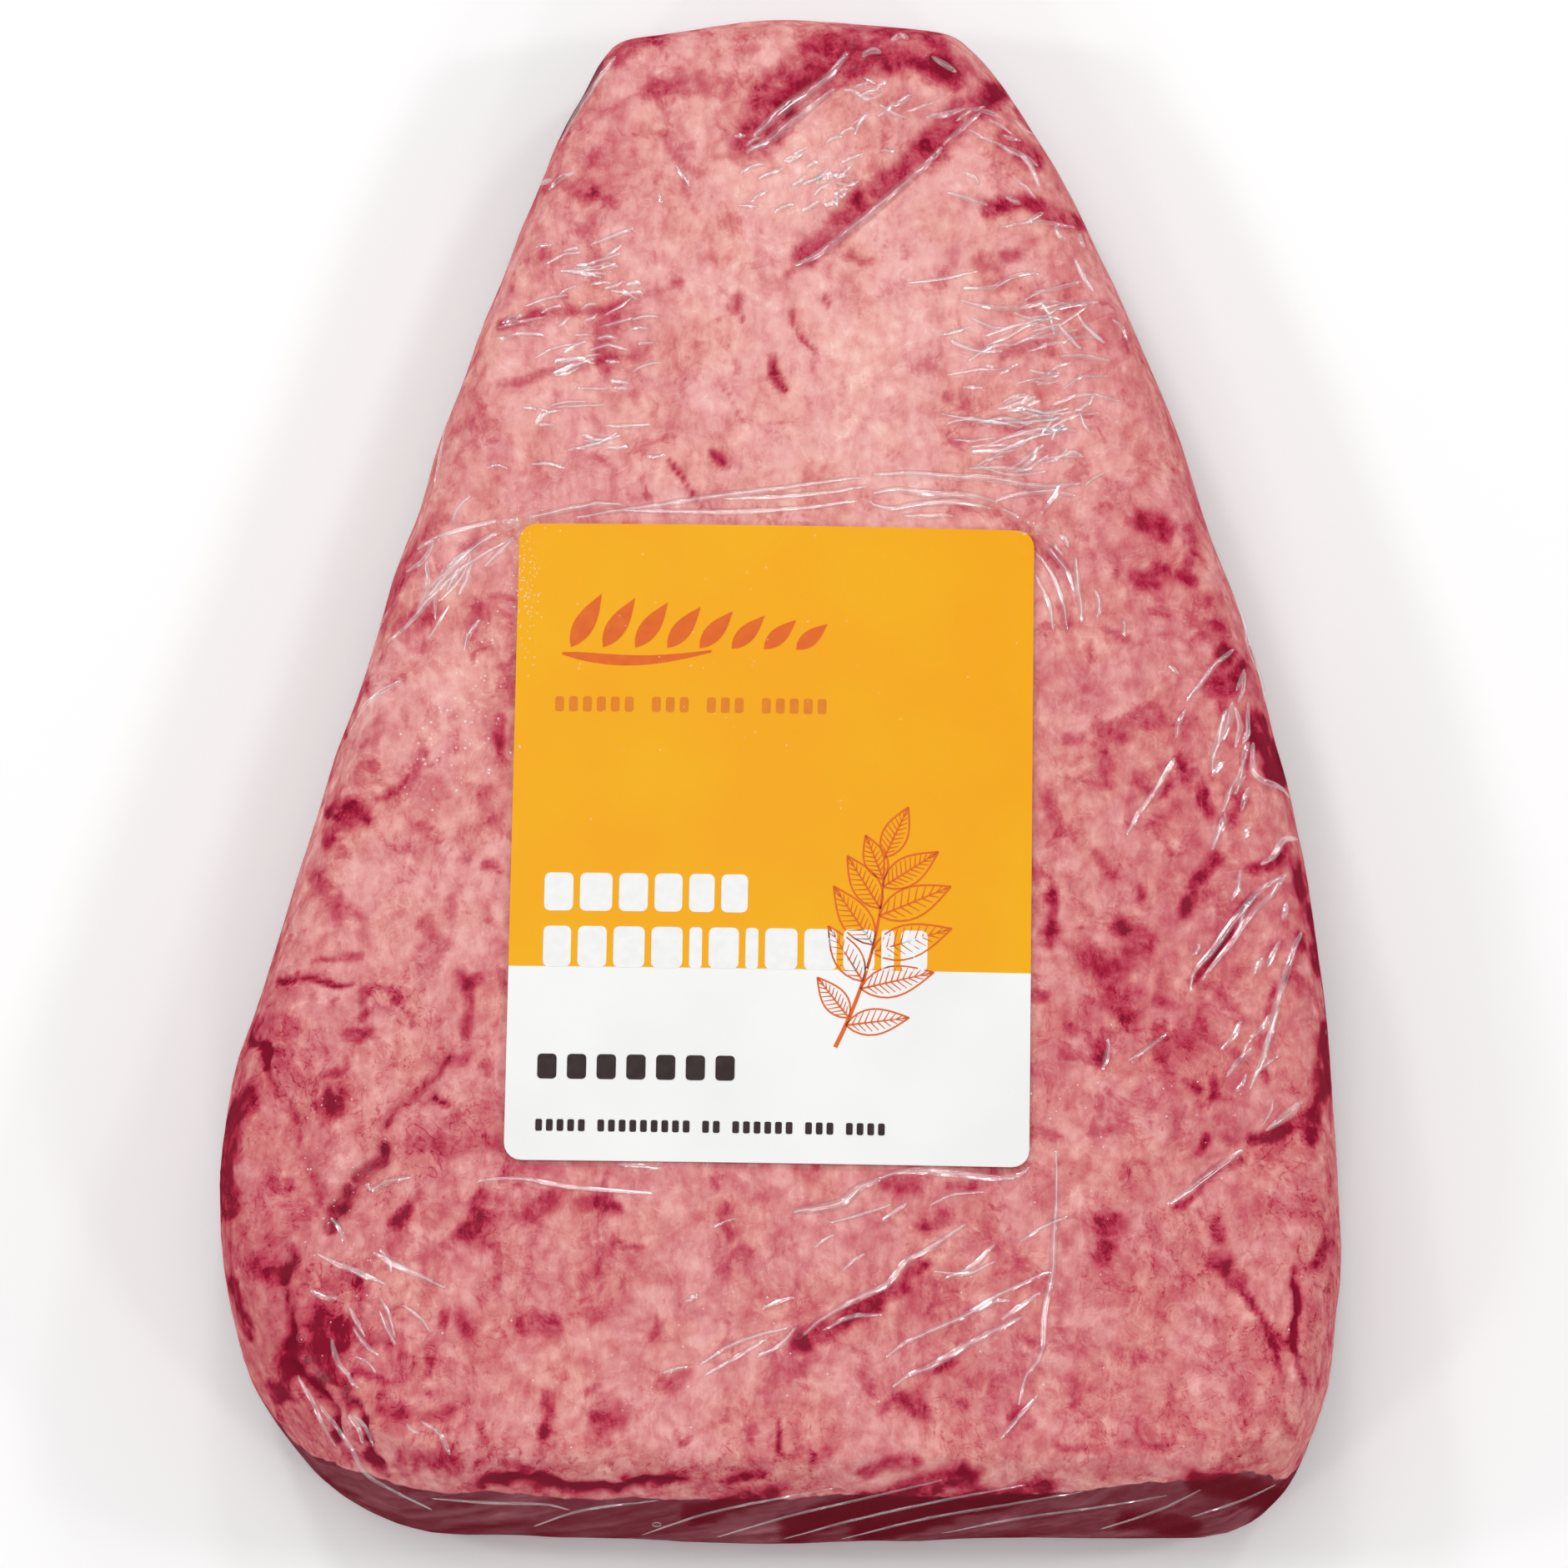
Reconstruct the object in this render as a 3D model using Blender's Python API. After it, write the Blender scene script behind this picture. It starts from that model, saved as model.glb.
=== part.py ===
# Raw picanha (rump cap) in a tight clear bag with a printed label.
# The pack lies on its cut lean side with the fat cap up. The tip points along +Y,
# and the wide end, with its slanting cut face, along -Y. Sizes here are in millimetres.

import math

import bmesh
import bpy
import numpy as np
from mathutils import Vector, noise

MM = 0.001

# The whole pack
HALF_WIDTH = 98.0
FRONT_Y = -137.9
TIP_Y = 138.3
FRONT_THICK = 43.0
TIP_THICK = 26.0
CROWN = 3.0
THIN_FROM, THIN_TO = -0.25, 1.15
CROWN_FROM, TIP_CROWN_SHARE = 0.2, 0.42

# Outline seen from above: corner x, corner y, radius of its rounding.
# It runs anticlockwise from the broad front left corner.
OUTLINE = (
    (-94.5, -112.5, 50.0),
    (-71.5, -135.5, 38.0),
    (0.0, FRONT_Y, 600.0),
    (86.0, -136.5, 22.0),
    (95.5, -110.0, 70.0),
    (97.7, -87.5, 150.0),
    (96.2, -35.0, 300.0),
    (84.8, 16.0, 350.0),
    (66.2, 74.5, 350.0),
    (49.2, 111.0, 150.0),
    (33.0, 134.5, 12.0),
    (1.5, TIP_Y, 150.0),
    (-31.8, 133.0, 10.0),
    (-40.5, 117.5, 60.0),
    (-60.5, 63.5, 400.0),
    (-101.0, -70.0, 85.0),
)
FRONT_LEFT, FRONT_RIGHT, TIP_RIGHT, TIP_LEFT = 0, 3, 10, 12
ARC_STEPS = 16

# Section through the edge. The roll is how far the edge rounds in, over and under the
# widest line, and the power says how square it is: 2 is an ellipse.
SIDE_ROLL, FRONT_ROLL, CORNER_ROLL = 10.0, 12.5, 7.0
UNDER_ROLL = 9.0
SIDE_POWER, FRONT_POWER = 2.3, 1.7
WIDEST_SIDE, WIDEST_FRONT = 0.40, 0.24
SLUMP, SLUMP_SIZE = 0.9, 15.0
FRONT_PLEAT_SLANT, SIDE_PLEAT_SLANT = -0.9, 0.3
# How much the outline's outward normal has to turn to one side before the edge
# takes on that side's section: where it begins, and where it is complete.
FRONT_TURN, CORNER_TURN, PLEAT_TURN = (0.35, 0.95), (0.1, 0.6), 0.5
TANGENT_REACH = 0.012

# Fat cap over the lean. The lean shows above its usual line at the places listed:
# their centre x and y, how far they reach along x and y, and the extra height.
FAT_THICK = 11.0
LAYER_GAP = 0.3
EDGE_LOW, EDGE_FRONT = 0.33, 0.80
FRONT_SLOPE = 0.035
RAGGED_SIZE, RAGGED_DEPTH = 16.0, 2.4
BARE_PLACES = (
    ((-36.0, 120.0), (9.0, 12.0), 15.0),
    ((89.0, -3.0), (8.0, 9.0), 9.0),
    ((96.5, -43.0), (8.0, 11.0), 9.0),
)
PLATEAU = 0.62

# Printed label under the film
LABEL_WIDTH, LABEL_HEIGHT, LABEL_THICK = 90.0, 114.0, 0.4
LABEL_CORNER = 3.0
LABEL_X, LABEL_Y = -2.1, -18.0
LABEL_TURN = math.radians(-0.9)
LABEL_GAP = 0.3
SEAT_MARGIN = 3.0
SEAT_BLEND = 12.0

# Mesh density
ACROSS, ALONG = 32, 46
FAT_LEVELS, LEAN_LEVELS = 7, 6
LABEL_COLUMNS, LABEL_ROWS = 14, 17

# Creases large enough to count as form: ends, half width, depth.
# A negative depth is a ridge.
FURROWS = (
    ((-4.0, 116.5), (19.5, 130.0), 4.0, 1.8),
    ((2.5, 86.0), (38.5, 119.5), 4.0, 2.0),
    ((-49.0, 65.5), (-26.0, 65.5), 4.0, 0.8),
    ((-58.0, -56.0), (-70.0, -75.0), 3.5, 1.3),
    ((-69.0, -74.0), (-83.0, -92.0), 4.0, 2.4),
    ((-88.5, -54.0), (-80.0, -80.0), 3.5, 1.2),
    ((60.0, -17.0), (68.5, -4.0), 3.5, 1.2),
    ((71.0, -45.0), (88.0, -24.5), 4.0, 1.4),
    ((71.0, -78.5), (89.0, -65.0), 4.0, 1.4),
    ((2.0, -105.0), (19.0, -96.0), 5.0, -1.1),
    ((16.0, -115.0), (46.0, -95.0), 5.0, -1.2),
)
# Dents: centre, radius, depth
DENTS = (
    ((-81.0, -104.0), 9.0, 3.0),
    ((-7.5, 79.0), 5.0, 1.4),
    ((6.0, 76.5), 5.0, 1.3),
    ((-4.0, 64.0), 5.0, 1.6),
    ((-10.5, 52.0), 4.5, 1.2),
    ((57.5, -40.0), 9.0, 1.2),
)
SWELL_SIZE, SWELL_DEPTH = 30.0, 1.5
LUMP_SIZE, LUMP_DEPTH = 13.0, 0.7
FURROW_TAPER = 0.12
# Each noise is read in its own plane, so that no two of them look alike.
RAGGED_PLANE, SWELL_PLANE, LUMP_PLANE = 3.0, 7.0, 31.0


def smooth_step(low, high, value):
    share = min(max((value - low) / (high - low), 0.0), 1.0)
    return share * share * (3.0 - 2.0 * share)


def mix(a, b, share):
    return a + (b - a) * share


# Outline

def rounded_path(corners):
    """Points along the outline, and for each corner the index of its arc's middle."""
    points, middles = [], []
    count = len(corners)
    for i, (x, y, radius) in enumerate(corners):
        here = np.array((x, y))
        back = np.array(corners[i - 1][:2]) - here
        ahead = np.array(corners[(i + 1) % count][:2]) - here
        back /= np.linalg.norm(back)
        ahead /= np.linalg.norm(ahead)
        half_angle = math.acos(float(back @ ahead)) / 2
        bisector = (back + ahead) / np.linalg.norm(back + ahead)
        centre = here + bisector * radius / math.sin(half_angle)
        first = here + back * radius / math.tan(half_angle) - centre
        last = here + ahead * radius / math.tan(half_angle) - centre
        start = math.atan2(first[1], first[0])
        sweep = math.atan2(last[1], last[0]) - start
        sweep = (sweep + math.pi) % (2 * math.pi) - math.pi
        for k in range(ARC_STEPS + 1):
            angle = start + sweep * k / ARC_STEPS
            points.append(centre + radius * np.array((math.cos(angle), math.sin(angle))))
        middles.append(len(points) - 1 - ARC_STEPS // 2)
    return np.array(points), middles


class Side:
    """One of the outline's four sides, read by the share of its length."""

    def __init__(self, points):
        steps = np.linalg.norm(np.diff(points, axis=0), axis=1)
        self.along = np.concatenate([[0.0], np.cumsum(steps)]) / steps.sum()
        self.points = points

    def at(self, share):
        x = np.interp(share, self.along, self.points[:, 0])
        y = np.interp(share, self.along, self.points[:, 1])
        return np.array((x, y))


def make_sides():
    points, middles = rounded_path(OUTLINE)
    turn = middles[FRONT_LEFT]
    points = np.roll(points, -turn, axis=0)
    points = np.vstack([points, points[:1]])
    a, b, c = (middles[k] - turn for k in (FRONT_RIGHT, TIP_RIGHT, TIP_LEFT))
    front, right = Side(points[: a + 1]), Side(points[a : b + 1])
    tip, left = Side(points[b : c + 1][::-1]), Side(points[c:][::-1])
    return front, right, tip, left


FRONT, RIGHT, TIP, LEFT = make_sides()


def outline_point(u, v):
    """Point on the outline and its outward normal, for u or v at 0 or 1."""
    if v <= 0.0:
        side, share, sense = FRONT, u, 1.0
    elif v >= 1.0:
        side, share, sense = TIP, u, -1.0
    elif u >= 1.0:
        side, share, sense = RIGHT, v, 1.0
    else:
        side, share, sense = LEFT, v, -1.0
    low, high = max(share - TANGENT_REACH, 0.0), min(share + TANGENT_REACH, 1.0)
    tangent = side.at(high) - side.at(low)
    tangent *= sense / np.linalg.norm(tangent)
    return side.at(share), np.array((tangent[1], -tangent[0]))


# Height of the top

def segment_distance(x, y, start, end):
    """Distance from a segment, and the share along it."""
    line = (end[0] - start[0], end[1] - start[1])
    length = line[0] ** 2 + line[1] ** 2
    share = ((x - start[0]) * line[0] + (y - start[1]) * line[1]) / length
    share = min(max(share, 0.0), 1.0)
    near = (start[0] + share * line[0], start[1] + share * line[1])
    return math.hypot(x - near[0], y - near[1]), share


def relief(x, y):
    """Swells, lumps, furrows and dents of the fat, away from the label."""
    height = SWELL_DEPTH * noise.noise(Vector((x, y, SWELL_PLANE)) / SWELL_SIZE)
    height += LUMP_DEPTH * noise.noise(Vector((x, y, LUMP_PLANE)) / LUMP_SIZE)
    for start, end, half_width, depth in FURROWS:
        distance, share = segment_distance(x, y, start, end)
        taper = math.sin(math.pi * mix(FURROW_TAPER, 1.0 - FURROW_TAPER, share))
        height -= depth * taper * math.exp(-((distance / half_width) ** 2))
    for (cx, cy), radius, depth in DENTS:
        height -= depth * math.exp(-(((x - cx) ** 2 + (y - cy) ** 2) / radius**2))
    return height


def plain_height(x, y):
    """Top of the pack without relief: it thins towards the tip and is slightly crowned."""
    share = (y - FRONT_Y) / (TIP_Y - FRONT_Y)
    body = mix(FRONT_THICK, TIP_THICK, smooth_step(THIN_FROM, THIN_TO, share))
    towards_tip = min(max(share - CROWN_FROM, 0.0) / (1.0 - CROWN_FROM), 1.0)
    half = HALF_WIDTH * mix(1.0, TIP_CROWN_SHARE, towards_tip)
    return body + CROWN * (1.0 - min((x / half) ** 2, 1.0)) - CROWN / 2


def label_axes(x, y):
    """x and y in the label's own turned axes."""
    dx, dy = x - LABEL_X, y - LABEL_Y
    cos, sin = math.cos(-LABEL_TURN), math.sin(-LABEL_TURN)
    return dx * cos - dy * sin, dx * sin + dy * cos


def top_height(x, y):
    across, along = label_axes(x, y)
    beyond_x = max(abs(across) - LABEL_WIDTH / 2 - SEAT_MARGIN, 0.0)
    beyond_y = max(abs(along) - LABEL_HEIGHT / 2 - SEAT_MARGIN, 0.0)
    free = smooth_step(0.0, SEAT_BLEND, math.hypot(beyond_x, beyond_y))
    return plain_height(x, y) + free * relief(x, y)


# Section through the edge

class Edge:
    """The rounded edge at one point of the outline."""

    def __init__(self, u, v):
        self.point, self.normal = outline_point(u, v)
        front = smooth_step(*FRONT_TURN, -self.normal[1])
        left = smooth_step(*CORNER_TURN, -self.normal[0])
        corner = smooth_step(*CORNER_TURN, -self.normal[1]) * left
        self.roll = mix(SIDE_ROLL, FRONT_ROLL, front) + CORNER_ROLL * corner * (1 - front)
        self.power = mix(SIDE_POWER, FRONT_POWER, front)
        inner = self.point - self.normal * self.roll
        self.height = top_height(*inner)
        self.widest = self.height * mix(WIDEST_SIDE, WIDEST_FRONT, front)
        self.split = self.height * mix(EDGE_LOW, EDGE_FRONT, front) + self.ragged(front)

    def ragged(self, front):
        """How far the lean shows above or below its usual line."""
        x, y = self.point
        rise = RAGGED_DEPTH * noise.noise(Vector((x, y, RAGGED_PLANE)) / RAGGED_SIZE)
        rise += FRONT_SLOPE * x * front
        for (cx, cy), (reach_x, reach_y), height in BARE_PLACES:
            rise += height * math.exp(-(((x - cx) / reach_x) ** 2 + ((y - cy) / reach_y) ** 2))
        return rise

    def angle_of(self, height):
        """The angle in the section at a height: -90 at the floor, 90 at the top, in degrees."""
        above = height - self.widest
        reach = self.height - self.widest if above > 0 else self.widest
        share = min(abs(above) / reach, 1.0) ** (self.power / 2)
        return math.copysign(math.degrees(math.asin(share)), above)

    def at(self, degrees, lift=0.0):
        angle = math.radians(abs(degrees))
        rise = math.sin(angle) ** (2 / self.power)
        cosine = max(math.cos(angle), 0.0)
        inset = 1.0 - cosine ** (2 / self.power)
        if degrees > 0:
            z = self.widest + (self.height - self.widest) * rise
            inset *= self.roll
        else:
            z = self.widest * (1.0 - rise)
            inset *= UNDER_ROLL
        x, y = self.point - self.normal * (inset + self.slump(degrees, z))
        return Vector((x, y, z + lift))

    def slump(self, degrees, z):
        """Dimples and pleats round the side, gone at the top and at the floor."""
        x, y = self.point
        fade = math.cos(math.radians(degrees)) ** 2
        slant = z * (FRONT_PLEAT_SLANT if -self.normal[1] > PLEAT_TURN else SIDE_PLEAT_SLANT)
        dimple = noise.noise(Vector((x + slant, y + slant, z)) / SLUMP_SIZE)
        return fade * SLUMP * (1.0 + dimple)


# Building with loops in a unit square, which one function then puts in place

def unit_patch(bm):
    """A grid over the unit square. The level layer says which loop a vertex is on."""
    level = bm.verts.layers.float.new("level")
    bmesh.ops.create_grid(bm, x_segments=ACROSS, y_segments=ALONG, size=0.5)
    for vert in bm.verts:
        vert.co += Vector((0.5, 0.5, 0.0))
    return level


def rim_of(bm):
    return [edge for edge in bm.edges if edge.is_boundary or edge.is_wire]


def grow_loop(bm, edges, level, number):
    """A further loop of edges below the last one."""
    grown = bmesh.ops.extrude_edge_only(bm, edges=edges)["geom"]
    for item in grown:
        if isinstance(item, bmesh.types.BMVert):
            item[level] = number
    return [item for item in grown if isinstance(item, bmesh.types.BMEdge)]


def snap(value):
    """Grid coordinates as exact shares, so that the rim is exactly at 0 or 1."""
    return 0.0 if value < 1e-4 else 1.0 if value > 1 - 1e-4 else value


def patch_point(u, v, rim):
    """Point of a four-sided patch spanned between the loop's points (a Coons patch)."""
    if u in (0.0, 1.0) or v in (0.0, 1.0):
        return rim(u, v)
    across = mix(rim(0.0, v), rim(1.0, v), u)
    along = mix(rim(u, 0.0), rim(u, 1.0), v)
    low = mix(rim(0.0, 0.0), rim(1.0, 0.0), u)
    high = mix(rim(0.0, 1.0), rim(1.0, 1.0), u)
    return across + along - mix(low, high, v)


EDGES = {}


def edge_at(u, v):
    key = (round(u, 5), round(v, 5))
    if key not in EDGES:
        EDGES[key] = Edge(u, v)
    return EDGES[key]


def split_point(u, v, lift):
    edge = edge_at(u, v)
    return edge.at(edge.angle_of(edge.split), lift)


def plateau_point(u, v, lift):
    """The layer boundary inside the meat: a plane that slopes with the pack."""
    x, y = patch_point(u, v, lambda a, b: edge_at(a, b).at(90.0)).xy
    share = (y - FRONT_Y) / (TIP_Y - FRONT_Y)
    return Vector((x, y, mix(FRONT_THICK, TIP_THICK, share) - FAT_THICK + lift))


def inner_share(value):
    return 0.5 + (value - 0.5) * PLATEAU


def fat_point(u, v, level):
    if level == 0:
        x, y = patch_point(u, v, lambda a, b: edge_at(a, b).at(90.0)).xy
        return Vector((x, y, top_height(x, y)))
    if level > FAT_LEVELS:
        return plateau_point(inner_share(u), inner_share(v), LAYER_GAP / 2)
    edge = edge_at(u, v)
    if level == FAT_LEVELS:
        return split_point(u, v, LAYER_GAP / 2)
    return edge.at(mix(90.0, edge.angle_of(edge.split), level / FAT_LEVELS))


def lean_point(u, v, level):
    if level == 0:
        return plateau_point(inner_share(u), inner_share(v), -LAYER_GAP / 2)
    if level == 1:
        return split_point(u, v, -LAYER_GAP / 2)
    edge = edge_at(u, v)
    share = (level - 1) / LEAN_LEVELS
    return edge.at(mix(edge.angle_of(edge.split), -90.0, share))


def place(bm, level, point_at):
    for vert in bm.verts:
        u, v = snap(vert.co.x), snap(vert.co.y)
        vert.co = point_at(u, v, round(vert[level])) * MM


def finish(name, bm, material):
    bmesh.ops.recalc_face_normals(bm, faces=bm.faces)
    bmesh.ops.triangulate(bm, faces=bm.faces, quad_method="SHORT_EDGE", ngon_method="BEAUTY")
    mesh = bpy.data.meshes.new(name)
    bm.to_mesh(mesh)
    bm.free()
    mesh.shade_smooth()
    mesh.materials.append(material)
    obj = bpy.data.objects.new(name, mesh)
    bpy.context.scene.collection.objects.link(obj)
    return obj


def make_fat_cap(material):
    """The fat, from its uneven top down the sides to where the lean begins."""
    bm = bmesh.new()
    level = unit_patch(bm)
    edges = rim_of(bm)
    for number in range(1, FAT_LEVELS + 2):
        edges = grow_loop(bm, edges, level, number)
    bmesh.ops.contextual_create(bm, geom=edges)
    place(bm, level, fat_point)
    return finish("fat_cap", bm, material)


def make_lean(material):
    """The muscle under the fat, with the flat side that the pack rests on."""
    bm = bmesh.new()
    level = unit_patch(bm)
    inner = [vert for vert in bm.verts if not vert.is_boundary]
    bmesh.ops.delete(bm, geom=inner, context="VERTS")
    edges = rim_of(bm)
    first = list(edges)
    for number in range(1, LEAN_LEVELS + 2):
        edges = grow_loop(bm, edges, level, number)
    bmesh.ops.contextual_create(bm, geom=first)
    bmesh.ops.contextual_create(bm, geom=edges)
    place(bm, level, lean_point)
    return finish("lean_beef", bm, material)


def make_label(material):
    """A thin sheet with round corners that follows the fat under it."""
    bm = bmesh.new()
    bmesh.ops.create_grid(bm, x_segments=LABEL_COLUMNS, y_segments=LABEL_ROWS, size=0.5)
    bmesh.ops.scale(bm, vec=(LABEL_WIDTH, LABEL_HEIGHT, 1.0), verts=bm.verts)
    corners = [vert for vert in bm.verts if len(vert.link_edges) == 2]
    bmesh.ops.bevel(
        bm, geom=corners, offset=LABEL_CORNER, offset_type="OFFSET", affect="VERTICES",
        segments=5, profile=0.5, material=-1,
    )
    cos, sin = math.cos(LABEL_TURN), math.sin(LABEL_TURN)
    for vert in bm.verts:
        x = LABEL_X + vert.co.x * cos - vert.co.y * sin
        y = LABEL_Y + vert.co.x * sin + vert.co.y * cos
        vert.co = Vector((x, y, top_height(x, y) + LABEL_GAP)) * MM
    raised = bmesh.ops.extrude_face_region(bm, geom=bm.faces[:])["geom"]
    raised = [item for item in raised if isinstance(item, bmesh.types.BMVert)]
    bmesh.ops.translate(bm, vec=(0.0, 0.0, LABEL_THICK * MM), verts=raised)
    return finish("label", bm, material)


def make_material(name, colour, roughness):
    material = bpy.data.materials.new(name)
    material.use_nodes = True
    shader = material.node_tree.nodes["Principled BSDF"]
    shader.inputs["Base Color"].default_value = (*colour, 1.0)
    shader.inputs["Roughness"].default_value = roughness
    shader.inputs["Metallic"].default_value = 0.0
    return material


def centre_on_origin(objects):
    """Moves the pack so that its box is centred on the origin and stands on the floor."""
    points = np.array([vert.co for obj in objects for vert in obj.data.vertices])
    low, high = points.min(axis=0), points.max(axis=0)
    offset = Vector(((low[0] + high[0]) / 2, (low[1] + high[1]) / 2, low[2]))
    for obj in objects:
        for vert in obj.data.vertices:
            vert.co -= offset


def main():
    for obj in list(bpy.data.objects):
        bpy.data.objects.remove(obj)
    fat = make_fat_cap(make_material("beef_fat", (0.74, 0.33, 0.31), 0.45))
    lean = make_lean(make_material("beef_lean", (0.19, 0.03, 0.045), 0.40))
    label = make_label(make_material("printed_label", (0.90, 0.43, 0.02), 0.35))
    centre_on_origin([fat, lean, label])


main()
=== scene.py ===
import math
import random

import bmesh
import bpy
import numpy as np
from mathutils import Matrix, Vector, noise
from mathutils.bvhtree import BVHTree


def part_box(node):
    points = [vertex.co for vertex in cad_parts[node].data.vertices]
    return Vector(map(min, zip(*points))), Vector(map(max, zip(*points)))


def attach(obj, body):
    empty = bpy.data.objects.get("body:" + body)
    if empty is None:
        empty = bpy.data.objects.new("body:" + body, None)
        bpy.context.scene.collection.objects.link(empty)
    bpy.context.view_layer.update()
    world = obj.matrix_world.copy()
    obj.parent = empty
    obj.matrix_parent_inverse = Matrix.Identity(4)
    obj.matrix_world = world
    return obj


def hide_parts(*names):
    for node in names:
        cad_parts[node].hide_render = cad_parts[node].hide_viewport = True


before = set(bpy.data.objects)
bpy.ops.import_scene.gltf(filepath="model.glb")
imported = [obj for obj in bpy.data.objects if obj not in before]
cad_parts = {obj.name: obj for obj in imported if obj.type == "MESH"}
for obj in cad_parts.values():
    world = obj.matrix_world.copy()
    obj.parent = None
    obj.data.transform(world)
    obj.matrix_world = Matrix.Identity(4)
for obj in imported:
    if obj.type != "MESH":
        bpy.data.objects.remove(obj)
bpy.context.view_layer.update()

mm = 0.001
view = bpy.context.scene.view_settings
view.view_transform = "Standard"  # keeps the label's yellow and the pale fat as bright as they are


def linear(hexColour):
    # sRGB hex, as read off a picture, to the linear colour that a shader wants
    parts = [int(hexColour[i:i + 2], 16) / 255 for i in (0, 2, 4)]
    return [c / 12.92 if c <= 0.04045 else ((c + 0.055) / 1.055) ** 2.4 for c in parts] + [1.0]


def addNode(tree, kind, settings=None, **inputs):
    # one node, its settings, and its inputs as values or as links from other sockets
    node = tree.nodes.new("ShaderNode" + kind)
    for name, value in (settings or {}).items():
        setattr(node, name, value)
    for name, value in inputs.items():
        if name.startswith("at"):
            socket = node.inputs[int(name[2:])]
        else:
            socket = node.inputs[name.replace("_", " ")]
        if isinstance(value, bpy.types.NodeSocket):
            tree.links.new(value, socket)
        else:
            socket.default_value = value
    return node


def newMaterial(name):
    material = bpy.data.materials.new(name)
    material.use_nodes = True
    material.node_tree.nodes.clear()
    return material, material.node_tree


def keepPiece(piece, slot, *solids):
    # every finished piece rides on the one body, and the solids it stands for are hidden
    bpy.context.scene.collection.objects.link(piece)
    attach(piece, "root")
    if solids:
        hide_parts(*solids)


def meshOf(shape, name, material):
    # what the bmesh operators made, as mesh data with its one material
    data = bpy.data.meshes.new(name)
    shape.to_mesh(data)
    data.materials.append(material)
    print("  ", name, len(data.polygons), "faces")
    return data


def smoothStep(value):
    value = np.clip(value, 0.0, 1.0)
    return value * value * (3.0 - 2.0 * value)


# the camera stands where the picture was taken from: nearly above, a little towards the cut front
picture = {
    "tilt": math.radians(12.0),
    "distance": 1.5,
    "lens": 196.6,
    "sensor": 36.0,
    "target": Vector((0.0005, -0.0041, 0.020)),
}
away = (0.0, -math.sin(picture["tilt"]), math.cos(picture["tilt"]))  # from the pack to the camera
up = (0.0, math.cos(picture["tilt"]), math.sin(picture["tilt"]))  # up in the picture


def makeCamera():
    camera = bpy.data.objects.new("pictureCamera", bpy.data.cameras.new("pictureCamera"))
    camera.data.lens = picture["lens"]
    camera.data.sensor_width = picture["sensor"]
    camera.data.clip_end = 20.0
    camera.location = picture["target"] + Vector(away) * picture["distance"]
    camera.rotation_euler = (picture["tilt"], 0.0, 0.0)
    bpy.context.scene.collection.objects.link(camera)
    bpy.context.scene.camera = camera


def pictureSpots(points):
    # where points lie in the picture: millimetres right of and above its middle
    offset = points - np.array(picture["target"])
    depth = picture["distance"] - offset @ np.array(away)
    flat = np.stack([offset[:, 0], offset @ np.array(up)], 1)
    return flat * (picture["distance"] / mm / depth)[:, None]


def lineGap(spots, path):
    # distance to a broken line, and how far along it the nearest place is, 0 to 1
    best = np.full(len(spots), 1e9)
    along = np.zeros(len(spots))
    lengths = np.linalg.norm(np.diff(path, axis=0), axis=1)
    start = 0.0
    for a, b, length in zip(path[:-1], path[1:], lengths):
        share = np.clip((spots - a) @ (b - a) / max(length ** 2, 1e-9), 0.0, 1.0)
        gap = np.linalg.norm(spots - a - share[:, None] * (b - a), axis=1)
        closer = gap < best
        best[closer] = gap[closer]
        along[closer] = (start + share[closer] * length) / max(lengths.sum(), 1e-9)
        start += length
    return best, along


def gather(spots, rows, margin, shape):
    # the strongest of many places at each spot; a row is two numbers and then its path, and
    # none reaches further than the margin, in millimetres
    strongest = np.zeros(len(spots))
    for row in rows:
        path = np.array(row[2:]).reshape(-1, 2)
        if len(path) == 1:
            path = np.vstack([path, path + 0.01])
        near = ((spots > path.min(0) - margin) & (spots < path.max(0) + margin)).all(1)
        near = np.nonzero(near)[0]
        if len(near):
            gap, along = lineGap(spots[near], path)
            strongest[near] = np.maximum(strongest[near], shape(row, gap, along))
    return strongest


def noiseAt(points, size, seed):
    # smooth random values, about -1 to 1, for points in metres and a grain size in millimetres
    shift = Vector((seed * 7.13, seed * 3.71, seed * 5.37))
    scale = 1.0 / (size * mm)
    return np.array([noise.noise(Vector(p) * scale + shift) for p in points])


def cellGap(points, size, seed):
    # 0 on the lines between random cells, about 1 inside them
    shift = Vector((seed * 7.13, seed * 3.71, seed * 5.37))
    scale = 1.0 / (size * mm)
    gaps = []
    for p in points:
        near = noise.voronoi(Vector(p) * scale + shift)[0]
        gaps.append(near[1] - near[0])
    return np.array(gaps)


def pointsOf(mesh):
    points = np.empty(len(mesh.vertices) * 3)
    mesh.vertices.foreach_get("co", points)
    return points.reshape(-1, 3)


def normalsOf(mesh):
    normals = np.empty(len(mesh.vertices) * 3)
    mesh.vertex_normals.foreach_get("vector", normals)
    return normals.reshape(-1, 3)


def store(mesh, name, values):
    layer = mesh.attributes.new(name, "FLOAT", "POINT")
    layer.data.foreach_set("value", np.asarray(values, dtype=np.float32))


def mergedCopy(name):
    copy = bmesh.new()
    copy.from_mesh(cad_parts[name].data)
    bmesh.ops.remove_doubles(copy, verts=copy.verts, dist=1e-6)
    return copy


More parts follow.
